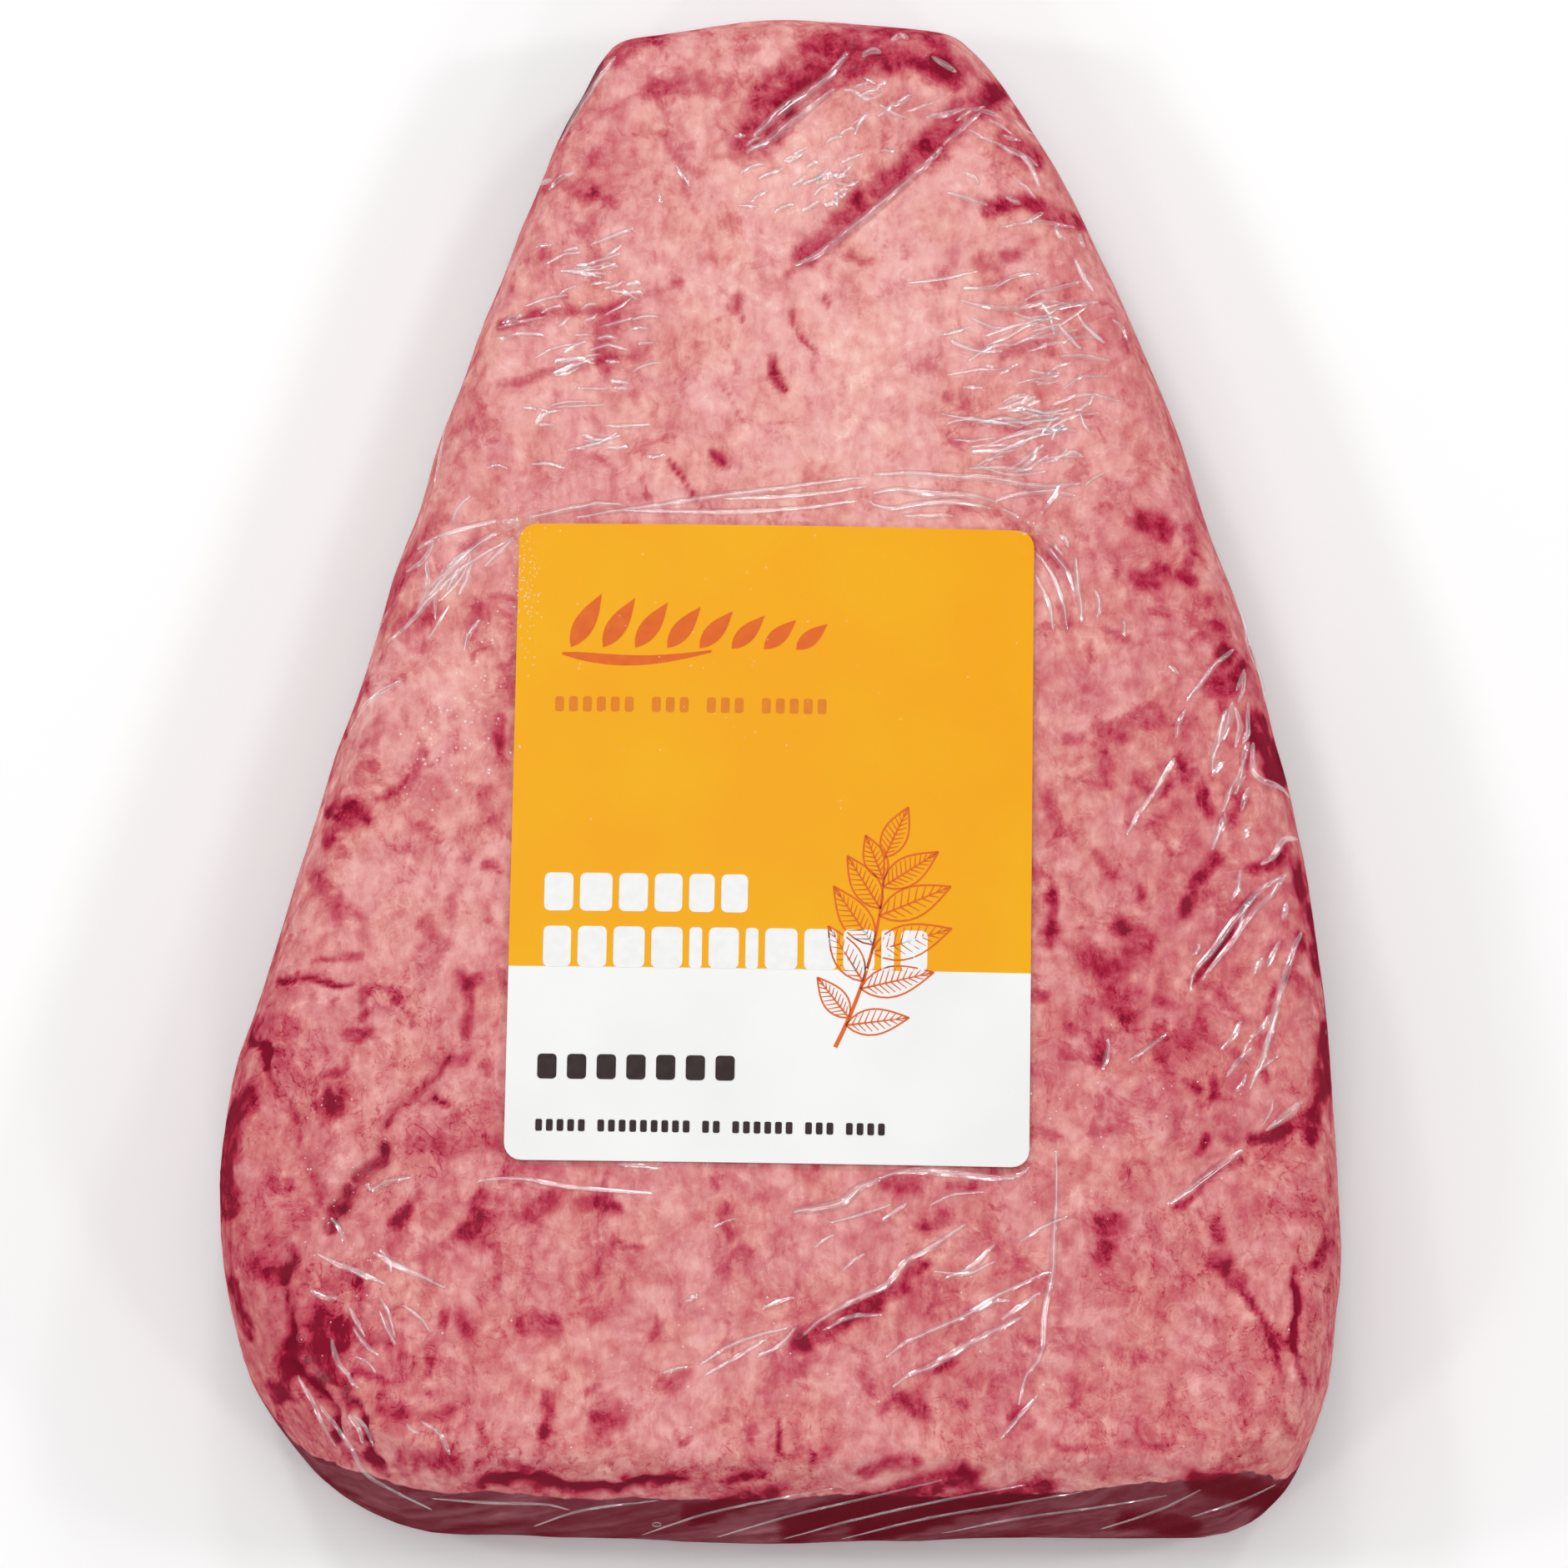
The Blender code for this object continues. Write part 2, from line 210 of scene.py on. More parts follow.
def closedOutside():
    # the fat and the lean without the faces between them
    seam = 0.4 * mm
    copies = {name: mergedCopy(name) for name in ("fat_cap", "lean_beef")}
    trees = {name: BVHTree.FromBMesh(copy) for name, copy in copies.items()}
    outside = bmesh.new()
    for name, other in (("fat_cap", "lean_beef"), ("lean_beef", "fat_cap")):
        copy = copies[name]
        inner = [face for face in copy.faces
                 if trees[other].find_nearest(face.calc_center_median(), seam)[0] is not None]
        bmesh.ops.delete(copy, geom=inner, context="FACES")
        mesh = bpy.data.meshes.new(name + "Outside")
        copy.to_mesh(mesh)
        outside.from_mesh(mesh)
        copies[name] = BVHTree.FromBMesh(copy)
    bmesh.ops.remove_doubles(outside, verts=outside.verts, dist=seam)
    bmesh.ops.recalc_face_normals(outside, faces=outside.faces)
    mesh = bpy.data.meshes.new("outside")
    outside.to_mesh(mesh)
    return mesh, copies


def evenSkin(outside, voxel, rounds):
    # the outside again in even small squares, with the solids' facets smoothed away
    carrier = bpy.data.objects.new("skinCarrier", outside)
    bpy.context.scene.collection.objects.link(carrier)
    remesh = carrier.modifiers.new("even", "REMESH")
    remesh.mode = "VOXEL"
    remesh.voxel_size = voxel
    smooth = carrier.modifiers.new("smooth", "SMOOTH")
    smooth.factor = 0.5
    smooth.iterations = rounds
    evaluated = carrier.evaluated_get(bpy.context.evaluated_depsgraph_get())
    skin = bpy.data.meshes.new_from_object(evaluated)
    bpy.data.objects.remove(carrier)
    return skin


print("stage: the meat's closed outside")
outside, solidSkins = closedOutside()

# places read off the picture, in millimetres right of and above its middle: x, y, x, y ...
# stains of blood in the fat: half width in millimetres, strength, path
stains = [
    (2.6, 1.0, -6.2, 112.6, -1.5, 118.0, 4.5, 124.0, 10.5, 127.6),
    (2.0, 0.95, 10.5, 127.0, 17.0, 126.5, 23.1, 127.8, 30.0, 124.5),
    (1.8, 0.95, 3.4, 92.0, 12.6, 100.8, 22.0, 108.6, 29.6, 115.8, 37.0, 121.4),
    (1.6, 1.0, 32.0, -121.4, 22.0, -124.2, 10.0, -128.0, 1.4, -130.4),
    (1.5, 1.0, 45.0, -123.6, 32.0, -126.4, 14.4, -131.0),
    (1.5, 1.0, 72.5, -122.6, 79.0, -123.4, 86.1, -125.6),
    (1.2, 0.8, -2.0, -124.4, -16.0, -128.0),
    (1.2, 0.8, 60.0, -129.6, 71.0, -130.4),
    (1.17, 0.55, -28.9, 127.5, -26.2, 129.5, -21.7, 130.8),
    (1.43, 0.5, -23.6, 122, -20.4, 122, -15.8, 122.6, -10.6, 122),
    (0.91, 0.45, -18.4, 125.2, -17.1, 123.3, -14.5, 124.3),
    (2.22, 0.85, -4.1, 118.4, -1.5, 122.3, 1.8, 125.6, 5.7, 128.8),
    (1.43, 0.8, 5.7, 129.5, 10.9, 130.8, 16.1, 130.5, 20, 131.4),
    (1.04, 0.8, 2.4, 118.1, 5.7, 121, 8.9, 123.3, 12.9, 124.9),
    (1.3, 0.9, 7.6, 127.5, 10.9, 128.8, 12.9, 127.5),
    (0.78, 0.45, -8, 111.9, -6, 115.1, -3.4, 117.7),
    (0.65, 0.3, -11.9, 109.9, -9.3, 110.6, -7.3, 112.5),
    (1.17, 0.7, 19.4, 131.4, 23.3, 131.8, 25.9, 130.8, 27.8, 128.8),
    (0.78, 0.75, 16.1, 126.5, 19.4, 126.5, 22, 128.2),
    (0.52, 0.5, 30.5, 125.6, 28.5, 127.5, 26.5, 129.5),
    (1.17, 0.85, 37.9, 122, 34.4, 118.1, 31.1, 115.8, 27.8, 112.9),
    (1.3, 0.85, 27.8, 112.9, 23.3, 109.3, 18.7, 105.4, 14.2, 101.5),
    (0.91, 0.8, 14.2, 101.5, 10.3, 98.2, 6.3, 95.3, 2.4, 90.4),
    (0.52, 0.5, 2.4, 90.4, 1.1, 89.7),
    (0.91, 0.45, 41.5, 117.7, 44.1, 115.1),
    (1.3, 0.6, 38.3, 113.2, 41.5, 111.2, 44.1, 109.3),
    (1.04, 0.75, 35.7, 100.8, 38.9, 101.1, 42.2, 101.8, 45.4, 101.1),
    (1.17, 0.7, 45.4, 100.8, 48.7, 98.8, 52, 98.2),
    (1.43, 0.5, 34.4, 91.7, 37, 90.4, 38.3, 87.8),
    (0.91, 0.55, 38.9, 92.3, 41.5, 93, 42.8, 94.9),
    (0.65, 0.4, 15.5, 91.7, 12.9, 91.7, 10.9, 92.3),
    (0.65, 0.7, -49.4, 80.6, -45.8, 81.1, -42.5, 81.9),
    (0.59, 0.4, -42.5, 81.9, -36.7, 82.9, -30.2, 83.5, -24.9, 85.2, -20.4, 86.8, -18.4, 87.4),
    (0.65, 0.55, -49.7, 69.8, -45.8, 70.8, -40.6, 72.1),
    (0.46, 0.38, -40.6, 72.1, -34.7, 73.4, -30.2, 74.7, -26.2, 74.4),
    (0.78, 0.4, -42.5, 104.7, -39.9, 105.4, -38, 104.7),
    (0.65, 0.45, -36.7, 103.4, -34.1, 101.8, -32.1, 104.7),
    (0.59, 0.4, -21, 113.8, -19.7, 111.2, -17.8, 108, -15.2, 107.3),
    (0.33, 0.3, -18.4, 106, -15.8, 100.8, -13.2, 94.9, -11.9, 90.4),
    (0.46, 0.35, -19.1, 112.2, -15.8, 111.2),
    (0.85, 0.65, -8, 85.2, -8.6, 83.9),
    (0.26, 0.5, -7.3, 82.6, -7, 81.3),
    (0.39, 0.55, 7.3, 85.5, 8.3, 83.5),
    (0.33, 0.45, 1.5, 83.2, 1.8, 80.6, 3.1, 78, 5.4, 75.7),
    (0.52, 0.5, -2.5, 75.1, -2.1, 72.8),
    (0.59, 0.8, -2.1, 72.1, -1.2, 70.2),
    (0.26, 0.6, -1.2, 70.2, 0.1, 68.2),
    (0.46, 0.4, -8.6, 74.1, -8, 72.1),
    (0.2, 0.4, -10.3, 69.5, -8.3, 66.3, -6.4, 63.7),
    (0.52, 0.6, -12.2, 58.8, -11.3, 57.5, -10.3, 56.2),
    (0.26, 0.35, 17.7, 67.2, 19, 65.3),
    (0.26, 0.35, 18.1, 58.4, 19.4, 56.5),
    (0.65, 0.35, 28.5, 68.2, 29.5, 67.9),
    (0.52, 0.3, 23.3, 62, 24.3, 61.4),
    (0.2, 0.6, -19.7, 56.8, -17.8, 53.2, -15.8, 50, -14.5, 48, -14.2, 46.1),
    (0.39, 0.45, -33.1, 58.1, -30.8, 55.8, -28.9, 54.2),
    (0.65, 0.4, -26.9, 68.2, -25.6, 65.6, -23.6, 65),
    (0.91, 0.45, 37, 63, 40.2, 62.4, 42.8, 63.7),
    (0.78, 0.4, 38.3, 74.7, 42.8, 76.7, 46.7, 76),
    (1.17, 0.55, -60.4, 46.4, -63, 42.5, -65.3, 38.6, -67.6, 34.7),
    (0.78, 0.35, -56.5, 41.2, -53.9, 43.2),
    (0.91, 0.5, -68.2, 34.1, -70.2, 28.2),
    (1.3, 0.45, -61.7, 30.8, -64.3, 28.9, -66.9, 27.5),
    (0.78, 0.45, -73.4, 18.4, -74.7, 15.8, -76, 13.2),
    (0.52, 0.6, -76.7, 11.3, -77.3, 8),
    (0.52, 0.35, -66.3, 12.6, -65.9, 10.6),
    (0.91, 0.35, -70.8, 11.3, -72.1, 8),
    (0.65, 0.5, -63, 5.4, -65, 2.1, -68.2, -0.5, -70.8, -2.4),
    (1.43, 0.8, -74.7, -4.4, -76.7, -6.3, -78.6, -5.7),
    (0.78, 0.85, -74.7, -5.7, -73.1, -6.3),
    (0.91, 0.65, -76.7, -6.3, -79.3, -8.3, -79.9, -10.9),
    (0.78, 0.7, -49.3, 11.3, -50, 8, -49.6, 4.7),
    (0.91, 0.4, -52.6, -1.1, -52.2, -6.3),
    (0.78, 0.75, -51.9, -13.8, -50, -14.5),
    (0.26, 0.6, -64.3, -6.7, -61.7, -7, -60.1, -9.6),
    (0.26, 0.45, -63, -8.9, -59.7, -10.3, -58.4, -11.6),
    (0.52, 0.5, -56.5, -12.9, -55.2, -13.2),
    (1.17, 0.5, -81.9, -16.1, -79.3, -20, -78, -22.6),
    (0.78, 0.5, -76.7, -22, -74.7, -22.6),
    (0.91, 0.35, -58.4, -20.7, -59.1, -22.6),
    (1.04, 0.5, -63, -24.6, -61.7, -27.2, -59.1, -28.5),
    (0.91, 0.75, -56.5, -33.1, -55.8, -35.7, -53.9, -34.4),
    (0.91, 0.6, -55.2, -37.6, -55.8, -41.5, -55.8, -43.5),
    (0.26, 0.5, -83.2, -31.1, -78.6, -30.1, -73.4, -29.7),
    (0.39, 0.7, -88.4, -34.4, -85.2, -34, -81.9, -34.4, -78.6, -35, -76, -34.7),
    (0.46, 0.85, -85.5, -33.4, -84.8, -34.4),
    (0.91, 0.75, -73.4, -35.7, -73.1, -36.6),
    (0.52, 0.6, -72.1, -34.4, -69.5, -35.7, -68.2, -37.6),
    (0.33, 0.55, -67.6, -38.3, -65.9, -40.2, -65, -42.5),
    (1.04, 0.8, -76, -44.1, -74.7, -44.5),
    (0.65, 0.6, -73.4, -40.2, -73.1, -43.5, -74.7, -44.8),
    (0.33, 0.75, -94, -44.1, -92.7, -45.4, -91, -45.4, -91.4, -49.4),
    (0.65, 0.55, -92.3, -41.5, -93, -44.8),
    (1.56, 0.65, 63.3, 45.8, 65.9, 44.8, 67.2, 43.8),
    (0.65, 0.5, 60, 46.1, 62.6, 45.5),
    (0.91, 0.55, 71.8, 44.5, 71.8, 41.2, 71.4, 38),
    (0.91, 0.6, 69.8, 36.7, 71.8, 36.3),
    (1.43, 0.65, 62.6, 36.3, 64.6, 35.7, 65.9, 36.7),
    (0.65, 0.35, 55.5, 41.2, 58.1, 39.3, 58.7, 36.7),
    (0.78, 0.5, 47, 41.2, 48.3, 39.3),
    (0.52, 0.35, 49.6, 38, 49.9, 32.8, 50.3, 30.2),
    (0.91, 0.6, 49, 30.8, 49.9, 28.2),
    (1.04, 0.4, 75, 32.1, 76.3, 28.2),
    (1.04, 0.65, 76.3, 23.6, 77.6, 22.3, 76.3, 21.7),
    (1.43, 0.8, 75, 17.1, 77.6, 16.5, 79.6, 19.1),
    (0.78, 0.55, 77, 14.5, 76.3, 13.2),
    (0.78, 0.7, 79.9, 21, 79.6, 18.4),
    (0.52, 0.5, 53.5, 24.3, 54.2, 21.7),
    (0.59, 0.35, 52.9, 17.1, 52.5, 13.2),
    (0.59, 0.35, 64, 14.2, 65.9, 13.2),
    (0.52, 0.5, 56.8, 26.9, 60, 25.6),
    (0.52, 0.4, 62, 13.2, 64, 9.3),
    (0.91, 0.55, 49.6, 8, 51.6, 8),
    (0.78, 0.45, 56.8, 9.3, 60, 7.3),
    (1.43, 0.95, 82.2, 10.6, 83.5, 7.3),
    (0.65, 0.8, 81.5, 5.4, 81.2, 3.4),
    (1.56, 1, 85.5, 5.4, 86.8, 1.5),
    (0.65, 0.8, 68.5, 5.4, 69.5, 4.1, 69.8, 2.8),
    (0.52, 0.6, 67.9, 1.5, 65.9, -2.4),
    (0.78, 0.5, 62, 1.5, 64, -1.1),
    (0.91, 0.45, 56.8, 4.1, 56.8, 0.2),
    (0.78, 0.5, 46.4, -1.8, 46.7, -6.3),
    (0.65, 0.55, 47.7, -5.7, 48.3, -8.3),
    (0.91, 0.65, 78.9, -1.1, 80.2, -2.4, 77, -6.3),
    (0.91, 0.55, 73.1, -1.1, 74.4, -6.3),
    (0.91, 0.65, 76.3, -12.2, 74.4, -14.2, 72.4, -17.4),
    (1.04, 0.7, 71.8, -20.7, 70.5, -22.6),
    (0.65, 0.45, 64, -7.6, 66.6, -10.3, 67.9, -12.2),
    (0.78, 0.5, 54.8, -12.2, 57.4, -15.5),
    (0.65, 0.55, 62.6, -18.7, 64, -21.3),
    (0.72, 0.75, 46.7, -18.7, 47.3, -21.3, 46.4, -25.2),
    (0.78, 0.6, 46.4, -25.2, 46, -28.5),
    (2.22, 0.6, 53.5, -31.1, 58.1, -32.4, 61.3, -29.2),
    (1.69, 0.6, 58.1, -37, 60, -40.2, 61.3, -36.3),
    (1.3, 0.65, 58.7, -25.2, 61.3, -25.9, 63.3, -27.8),
    (1.04, 0.6, 56.8, -44.1, 55.5, -48.1),
    (0.78, 0.4, 65.9, -37.6, 69.2, -39.6),
    (0.52, 0.5, 78.9, -46.7, 79.6, -48.1),
    (0.78, 0.7, 82.2, -14.8, 85.5, -13.5, 88.1, -10.9),
    (0.65, 0.75, 82.2, -20.7, 78.3, -25.2, 74.4, -30.5, 71.8, -34.4),
    (0.78, 0.8, 88.7, -12.9, 90, -15.5, 91.3, -19.4),
    (1.04, 0.7, 92, -22, 93.3, -25.9),
    (1.17, 0.95, 93.6, -28.5, 93.9, -32.4),
    (0.65, 0.75, 90.7, -26.5, 88.1, -33.7),
    (0.52, 0.65, 86.1, -35.7, 84.8, -40.2),
    (1.3, 0.85, 95.2, -42.8, 94.6, -48.1, 95.2, -52),
    (0.78, 0.6, 43.7, -37, 45.7, -37),
    (1.69, 0.85, -96.9, -59.4, -95.6, -57.4, -93.6, -55.5),
    (1.3, 0.75, -96.9, -61.3, -98.2, -67.2, -97.5, -74.4),
    (0.91, 0.75, -75.4, -44.4, -74.1, -43.7, -72.8, -43.4),
    (1.17, 0.7, -78.6, -53.5, -79.3, -55.5, -78, -56.8),
    (0.52, 0.6, -80.6, -50.9, -78, -50.3),
    (0.78, 0.6, -58.4, -48.3, -56.5, -48),
    (0.39, 0.6, -61.7, -55.2, -59.1, -56.1),
    (1.3, 0.45, -63.7, -62.6, -59.1, -63.3, -55.2, -62.6, -50.6, -63),
    (1.69, 0.75, -55.2, -78.3, -53.9, -76.3, -52.6, -73.7),
    (1.69, 0.6, -52.6, -79.6, -51.3, -74.4),
    (1.3, 0.65, -45.4, -75, -43.5, -74.4, -41.5, -72.4),
    (1.04, 0.55, -68.2, -77, -66.3, -74.4),
    (1.17, 0.55, -35.6, -73.7, -32.4, -73.1, -30.4, -74.4),
    (0.39, 0.5, -29.8, -79.6, -27.2, -80.9, -23.9, -80.9),
    (1.69, 0.75, -91.7, -84.8, -89.7, -86.1),
    (2.74, 0.9, -85.2, -100.4, -82.6, -96.5, -80.6, -94.6),
    (2.22, 0.85, -81.9, -98.5, -80.6, -99.1, -81.9, -102.4),
    (1.04, 0.75, -79.3, -103.7, -77.3, -106.3, -76, -108.9),
    (0.52, 0.6, -76, -103.1, -72.1, -104.4, -69.5, -105),
    (0.52, 0.65, -73.4, -111.5, -72.1, -116.1, -69.5, -121.3),
    (0.91, 0.85, -72.8, -117.4, -70.2, -120),
    (0.91, 0.5, -56.5, -93.3, -55.2, -95.9),
    (0.39, 0.6, -59.7, -92.6, -59.1, -94.6),
    (1.3, 0.4, -45.4, -95.2, -40.2, -95.2),
    (0.52, 0.55, -63, -100.4, -62.4, -103.1),
    (0.91, 0.55, -69.5, -109.6, -65.6, -110.2, -61.7, -110.9, -58.4, -109.9),
    (0.78, 0.75, -41.5, -107, -40.8, -110.2, -41.8, -113.5),
    (1.43, 0.45, -32.4, -110.9, -30.4, -111.5, -28.5, -110.2),
    (0.65, 0.5, -35, -106.3, -33, -105),
    (1.3, 0.5, -20.6, -105.7, -16.7, -104.4),
    (0.39, 0.6, -19.3, -112.8, -18, -114.8, -16.7, -114.1),
    (0.52, 0.55, -22.6, -93.3, -21.9, -95.2, -23.2, -96.5),
    (0.65, 0.4, -52.6, -112.8, -51.3, -115.4),
    (0.26, 0.7, -0.8, -111.5, -0.8, -118),
    (0.78, 0.85, -52.6, -122.3, -47.4, -121.3, -42.1, -122, -38.2, -122.6),
    (0.65, 0.8, -48.7, -119.3, -44.8, -120.7),
    (0.65, 0.85, -38.2, -122.6, -33, -123.3, -29.1, -123.9),
    (0.91, 0.8, -27.2, -122.6, -23.2, -122, -17.4, -121.3),
    (0.52, 0.6, -10.2, -122.6, -7, -121.3, -4.3, -121.3),
    (1.3, 0.5, -66.9, -118, -63, -118.7, -57.8, -120),
    (1.17, 0.8, -89.1, -105.7, -87.8, -107),
    (0.78, 0.7, -94.9, -93.3, -93.6, -96.5),
    (0.52, 0.6, -79.3, -111.5, -78, -114.8),
    (0.65, 0.7, -96.9, -87.4, -95.6, -92, -94.3, -95.2),
    (0.65, 0.6, 50.3, -42.4, 50.9, -43.1),
    (1.04, 0.5, 55.5, -47, 56.8, -45.1),
    (0.59, 0.7, 83.8, -50.3, 84.5, -51.9),
    (1.3, 0.9, 95.2, -44.4, 94.6, -49, 94.6, -52.9),
    (1.04, 0.85, 94.3, -53.5, 92.6, -58.7, 92.6, -62),
    (0.65, 0.5, 75.7, -50.9, 75, -54.8),
    (0.78, 0.55, 70.5, -52.2, 72.4, -53.5),
    (1.17, 0.5, 77, -59.4, 78.3, -62),
    (0.78, 0.75, 73.7, -62.6, 72.8, -64.6),
    (0.78, 0.8, 82.2, -62, 86.1, -61.3, 90.7, -59.4),
    (0.52, 0.7, 90.7, -60, 92, -57.4),
    (0.65, 0.75, 73.1, -70.5, 76.3, -67.9, 79.6, -65.9),
    (0.52, 0.6, 69.2, -74.4, 73.1, -71.1),
    (1.43, 0.6, 56.1, -77, 58.1, -77),
    (1.17, 0.55, 55.5, -82.9, 56.8, -80.9),
    (1.04, 0.8, 75, -82.9, 77, -83.5, 78.9, -86.1),
    (1.17, 0.85, 77.6, -84.8, 79.6, -87.4),
    (0.52, 0.65, 79.6, -88.1, 82.2, -92, 84.8, -95.2, 86.8, -99.1),
    (0.39, 0.55, 86.8, -99.8, 87.4, -105),
    (0.78, 0.6, 75.7, -76.3, 75.7, -79.6),
    (0.46, 0.85, 89.7, -84.8, 90, -90, 89.4, -95.2, 90.3, -99.8),
    (0.65, 0.7, 92.6, -84.8, 94.6, -82.9, 95.2, -80.2),
    (0.39, 0.6, 90.7, -100.4, 91.7, -104.4),
    (0.65, 0.5, 87.4, -96.5, 89, -99.1),
    (0.91, 0.45, 78.9, -107, 81.5, -108.3),
    (1.04, 0.35, 58.1, -99.1, 61.3, -100.4),
    (0.91, 0.5, 49.6, -105, 50.9, -107.6),
    (0.52, 0.45, 47.7, -115.4, 50.9, -116.1, 55.5, -116.7),
    (1.17, 0.5, 35.3, -78.3, 37.2, -80.2),
    (1.04, 0.45, 24.2, -77, 28.8, -76.3),
    (1.17, 0.7, 18.3, -69.8, 22.9, -70.5),
    (0.65, 0.5, 28.8, -70.1, 32.7, -70.5),
    (1.43, 0.8, 2.7, -97.8, 6.6, -95.9, 11.2, -93.3, 15.7, -91.3),
    (1.04, 0.75, 14.4, -91.3, 17, -90, 20.3, -88.1),
    (0.65, 0.5, 20.9, -86.8, 25.5, -83.5),
    (1.17, 0.6, 20.9, -108.3, 23.5, -108.3, 24.2, -110.2),
    (0.65, 0.55, 17, -109.6, 19.6, -107.6),
    (0.78, 0.4, 26.2, -102.4, 30.1, -100.4),
    (0.78, 0.5, 40.5, -111.5, 42.4, -110.9, 43.1, -112.2),
    (0.91, 0.55, 5.3, -119.3, 7.9, -117.4),
    (0.91, 0.6, 14.4, -120.7, 18.3, -119.3, 22.9, -118.7),
]
# lean that shows at the rim: half width, strength, path
barePlaces = [
    (1.6, 1.0, -39.4, 113.4, -37.4, 118.6, -34.2, 124.2, -29.6, 129.4),
    (2.6, 1.0, 84.6, 10.4, 87.2, 6.6, 88.9, 0.4, 89.6, -4.2),
    (1.6, 1.0, 92.4, -27.8, 94.2, -34.8, 95.2, -41.6),
    (1.3, 0.9, -96.8, -60.0, -96.4, -76.0),
]
# crevices between lobes of fat: half width, depth, path
crevices = [
    (0.39, 0.9, -94, -44.1, -92.7, -45.1, -91, -45.7, -91.4, -48.3, -89.7, -51.9, -86.8, -55.5,
     -85.2, -59.4, -84.2, -64.6),
    (0.33, 0.8, -84.2, -64.6, -83.9, -67.2, -82.2, -70.5, -81.3, -74.4),
    (0.9, 1.8, -69.5, -62.6, -70.2, -65.3, -72.8, -67.2, -74.7, -69.2, -75.7, -70.5),
    (1.2, 2.0, -75.7, -70.5, -77.3, -74.4, -79, -75, -79.3, -78.3),
    (0.39, 1, -60.4, -46.4, -59.1, -48, -61, -50.9, -63, -52.9, -65.6, -56.1, -68.2, -57.4, -70.2, -61.3),
    (0.46, 1.2, -86.1, -79.6, -85.5, -82.9, -87.4, -85.5, -87.8, -88.7),
    (0.52, 1.3, -87.8, -88.7, -86.8, -92, -86.5, -95.9, -87.8, -99.1),
    (0.52, 1.4, -86.8, -99.8, -83.9, -103.7, -81.3, -107, -78.6, -110.2, -78, -115.4),
    (0.39, 1, -75.4, -107, -73.4, -111.5, -72.8, -116.1, -70.2, -120.7),
    (0.26, 0.6, -59.1, -135.6, -58.8, -135.6),
    (0.33, 0.7, -64.3, -56.8, -61.7, -55.2, -59.1, -56.1),
    (0.26, 0.6, -79.3, -50.9, -76.7, -49.6, -77.3, -47.7),
    (0.33, 0.8, -88.4, -34.4, -85.2, -34, -81.9, -34.4, -78.6, -35, -76, -34.7),
    (0.26, 0.6, -83.2, -31.1, -78.6, -30.1, -73.4, -29.7),
    (0.39, 0.9, -73.8, -37, -73.1, -40.2, -74.7, -41.5),
    (0.33, 0.8, -60.4, -45.4, -59.1, -48.1, -61, -50),
    (0.26, 0.5, 58.1, -114.8, 62.6, -115.4, 66.6, -116.1),
    (0.33, 0.7, 89.7, -84.8, 90, -90, 89.4, -95.2, 90.3, -99.8),
    (0.26, 0.5, 79.6, -88.1, 82.2, -92, 84.8, -95.2, 86.8, -99.1),
    (0.26, 0.5, 67.9, -56.8, 69.2, -59.4, 68.5, -62),
    (0.39, 0.8, -2.1, 74.7, -2.3, 72.1, -1.2, 70.2, 0.1, 68.2),
    (0.33, 0.6, 1.5, 83.2, 1.8, 80.6, 3.1, 78, 5.4, 75.7),
    (0.33, 0.6, 7.3, 85.5, 8.3, 83.5),
    (0.39, 0.6, -8, 85.8, -7, 81.3),
    (0.2, 0.5, -19.7, 56.8, -17.8, 53.2, -15.8, 50, -14.2, 46.1),
    (0.26, 0.5, -12.2, 58.8, -10.3, 56.2),
    (0.65, 1.2, -52.6, -122.5, -47.4, -121.8, -42.1, -122.5, -35.6, -123.4, -29.1, -124.3,
     -23.9, -122.6, -16.7, -121.8),
]

meat = {
    "voxel": 0.8 * mm,
    "rounds": 25,
    "under": 0.25 * mm,  # the film and a little juice below the meat
    "seamBlur": 1.6,  # how soft the line between fat and lean is, mm
    "lip": 4.0 * mm,
    "lobes": 6.0,  # lobules of fat, large and small, mm
    "smallLobes": 2.8,
    "most": 0.2,  # how far the relief may rise past the solid, mm
    # where the fat is knobbly: share, x, y, reach x, reach y
    "knobbly": [(1.0, -74, -62, 26, 44), (0.8, 88, -90, 16, 34), (0.7, -10, -118, 90, 12),
                (0.5, 60, -70, 40, 40)],
    # palest in the upper middle, redder towards the wide end and the rims: partly the fat's own tone, partly
    # painted light and shade, paler where the light falls fullest
    "blushAndShade": [(-0.22, 6, 78, 36, 56), (-0.07, -62, 10, 20, 60), (0.06, 90, -20, 26, 60),
              (0.10, -96, -80, 14, 50)],
}


def softSpots(spots, start, rows):
    total = np.full(len(spots), start)
    for share, x, y, reachX, reachY in rows:
        total += share * np.exp(-((spots[:, 0] - x) / reachX) ** 2 - ((spots[:, 1] - y) / reachY) ** 2)
    return total


def stainShape(row, gap, along):
    halfWidth, strength = row[:2]
    return strength * smoothStep(1.35 - gap / (halfWidth * 1.6))


def creviceShape(row, gap, along):
    halfWidth, depth = row[:2]
    ends = smoothStep(np.minimum(along, 1.0 - along) * 6.0 + 0.25)
    return depth * ends * np.exp(-(gap / max(halfWidth, 0.7)) ** 2)


def towardsCamera(normals):
    # 1 where the picture shows the skin, 0 where it faces away
    return smoothStep(normals @ np.array(away) / 0.12)


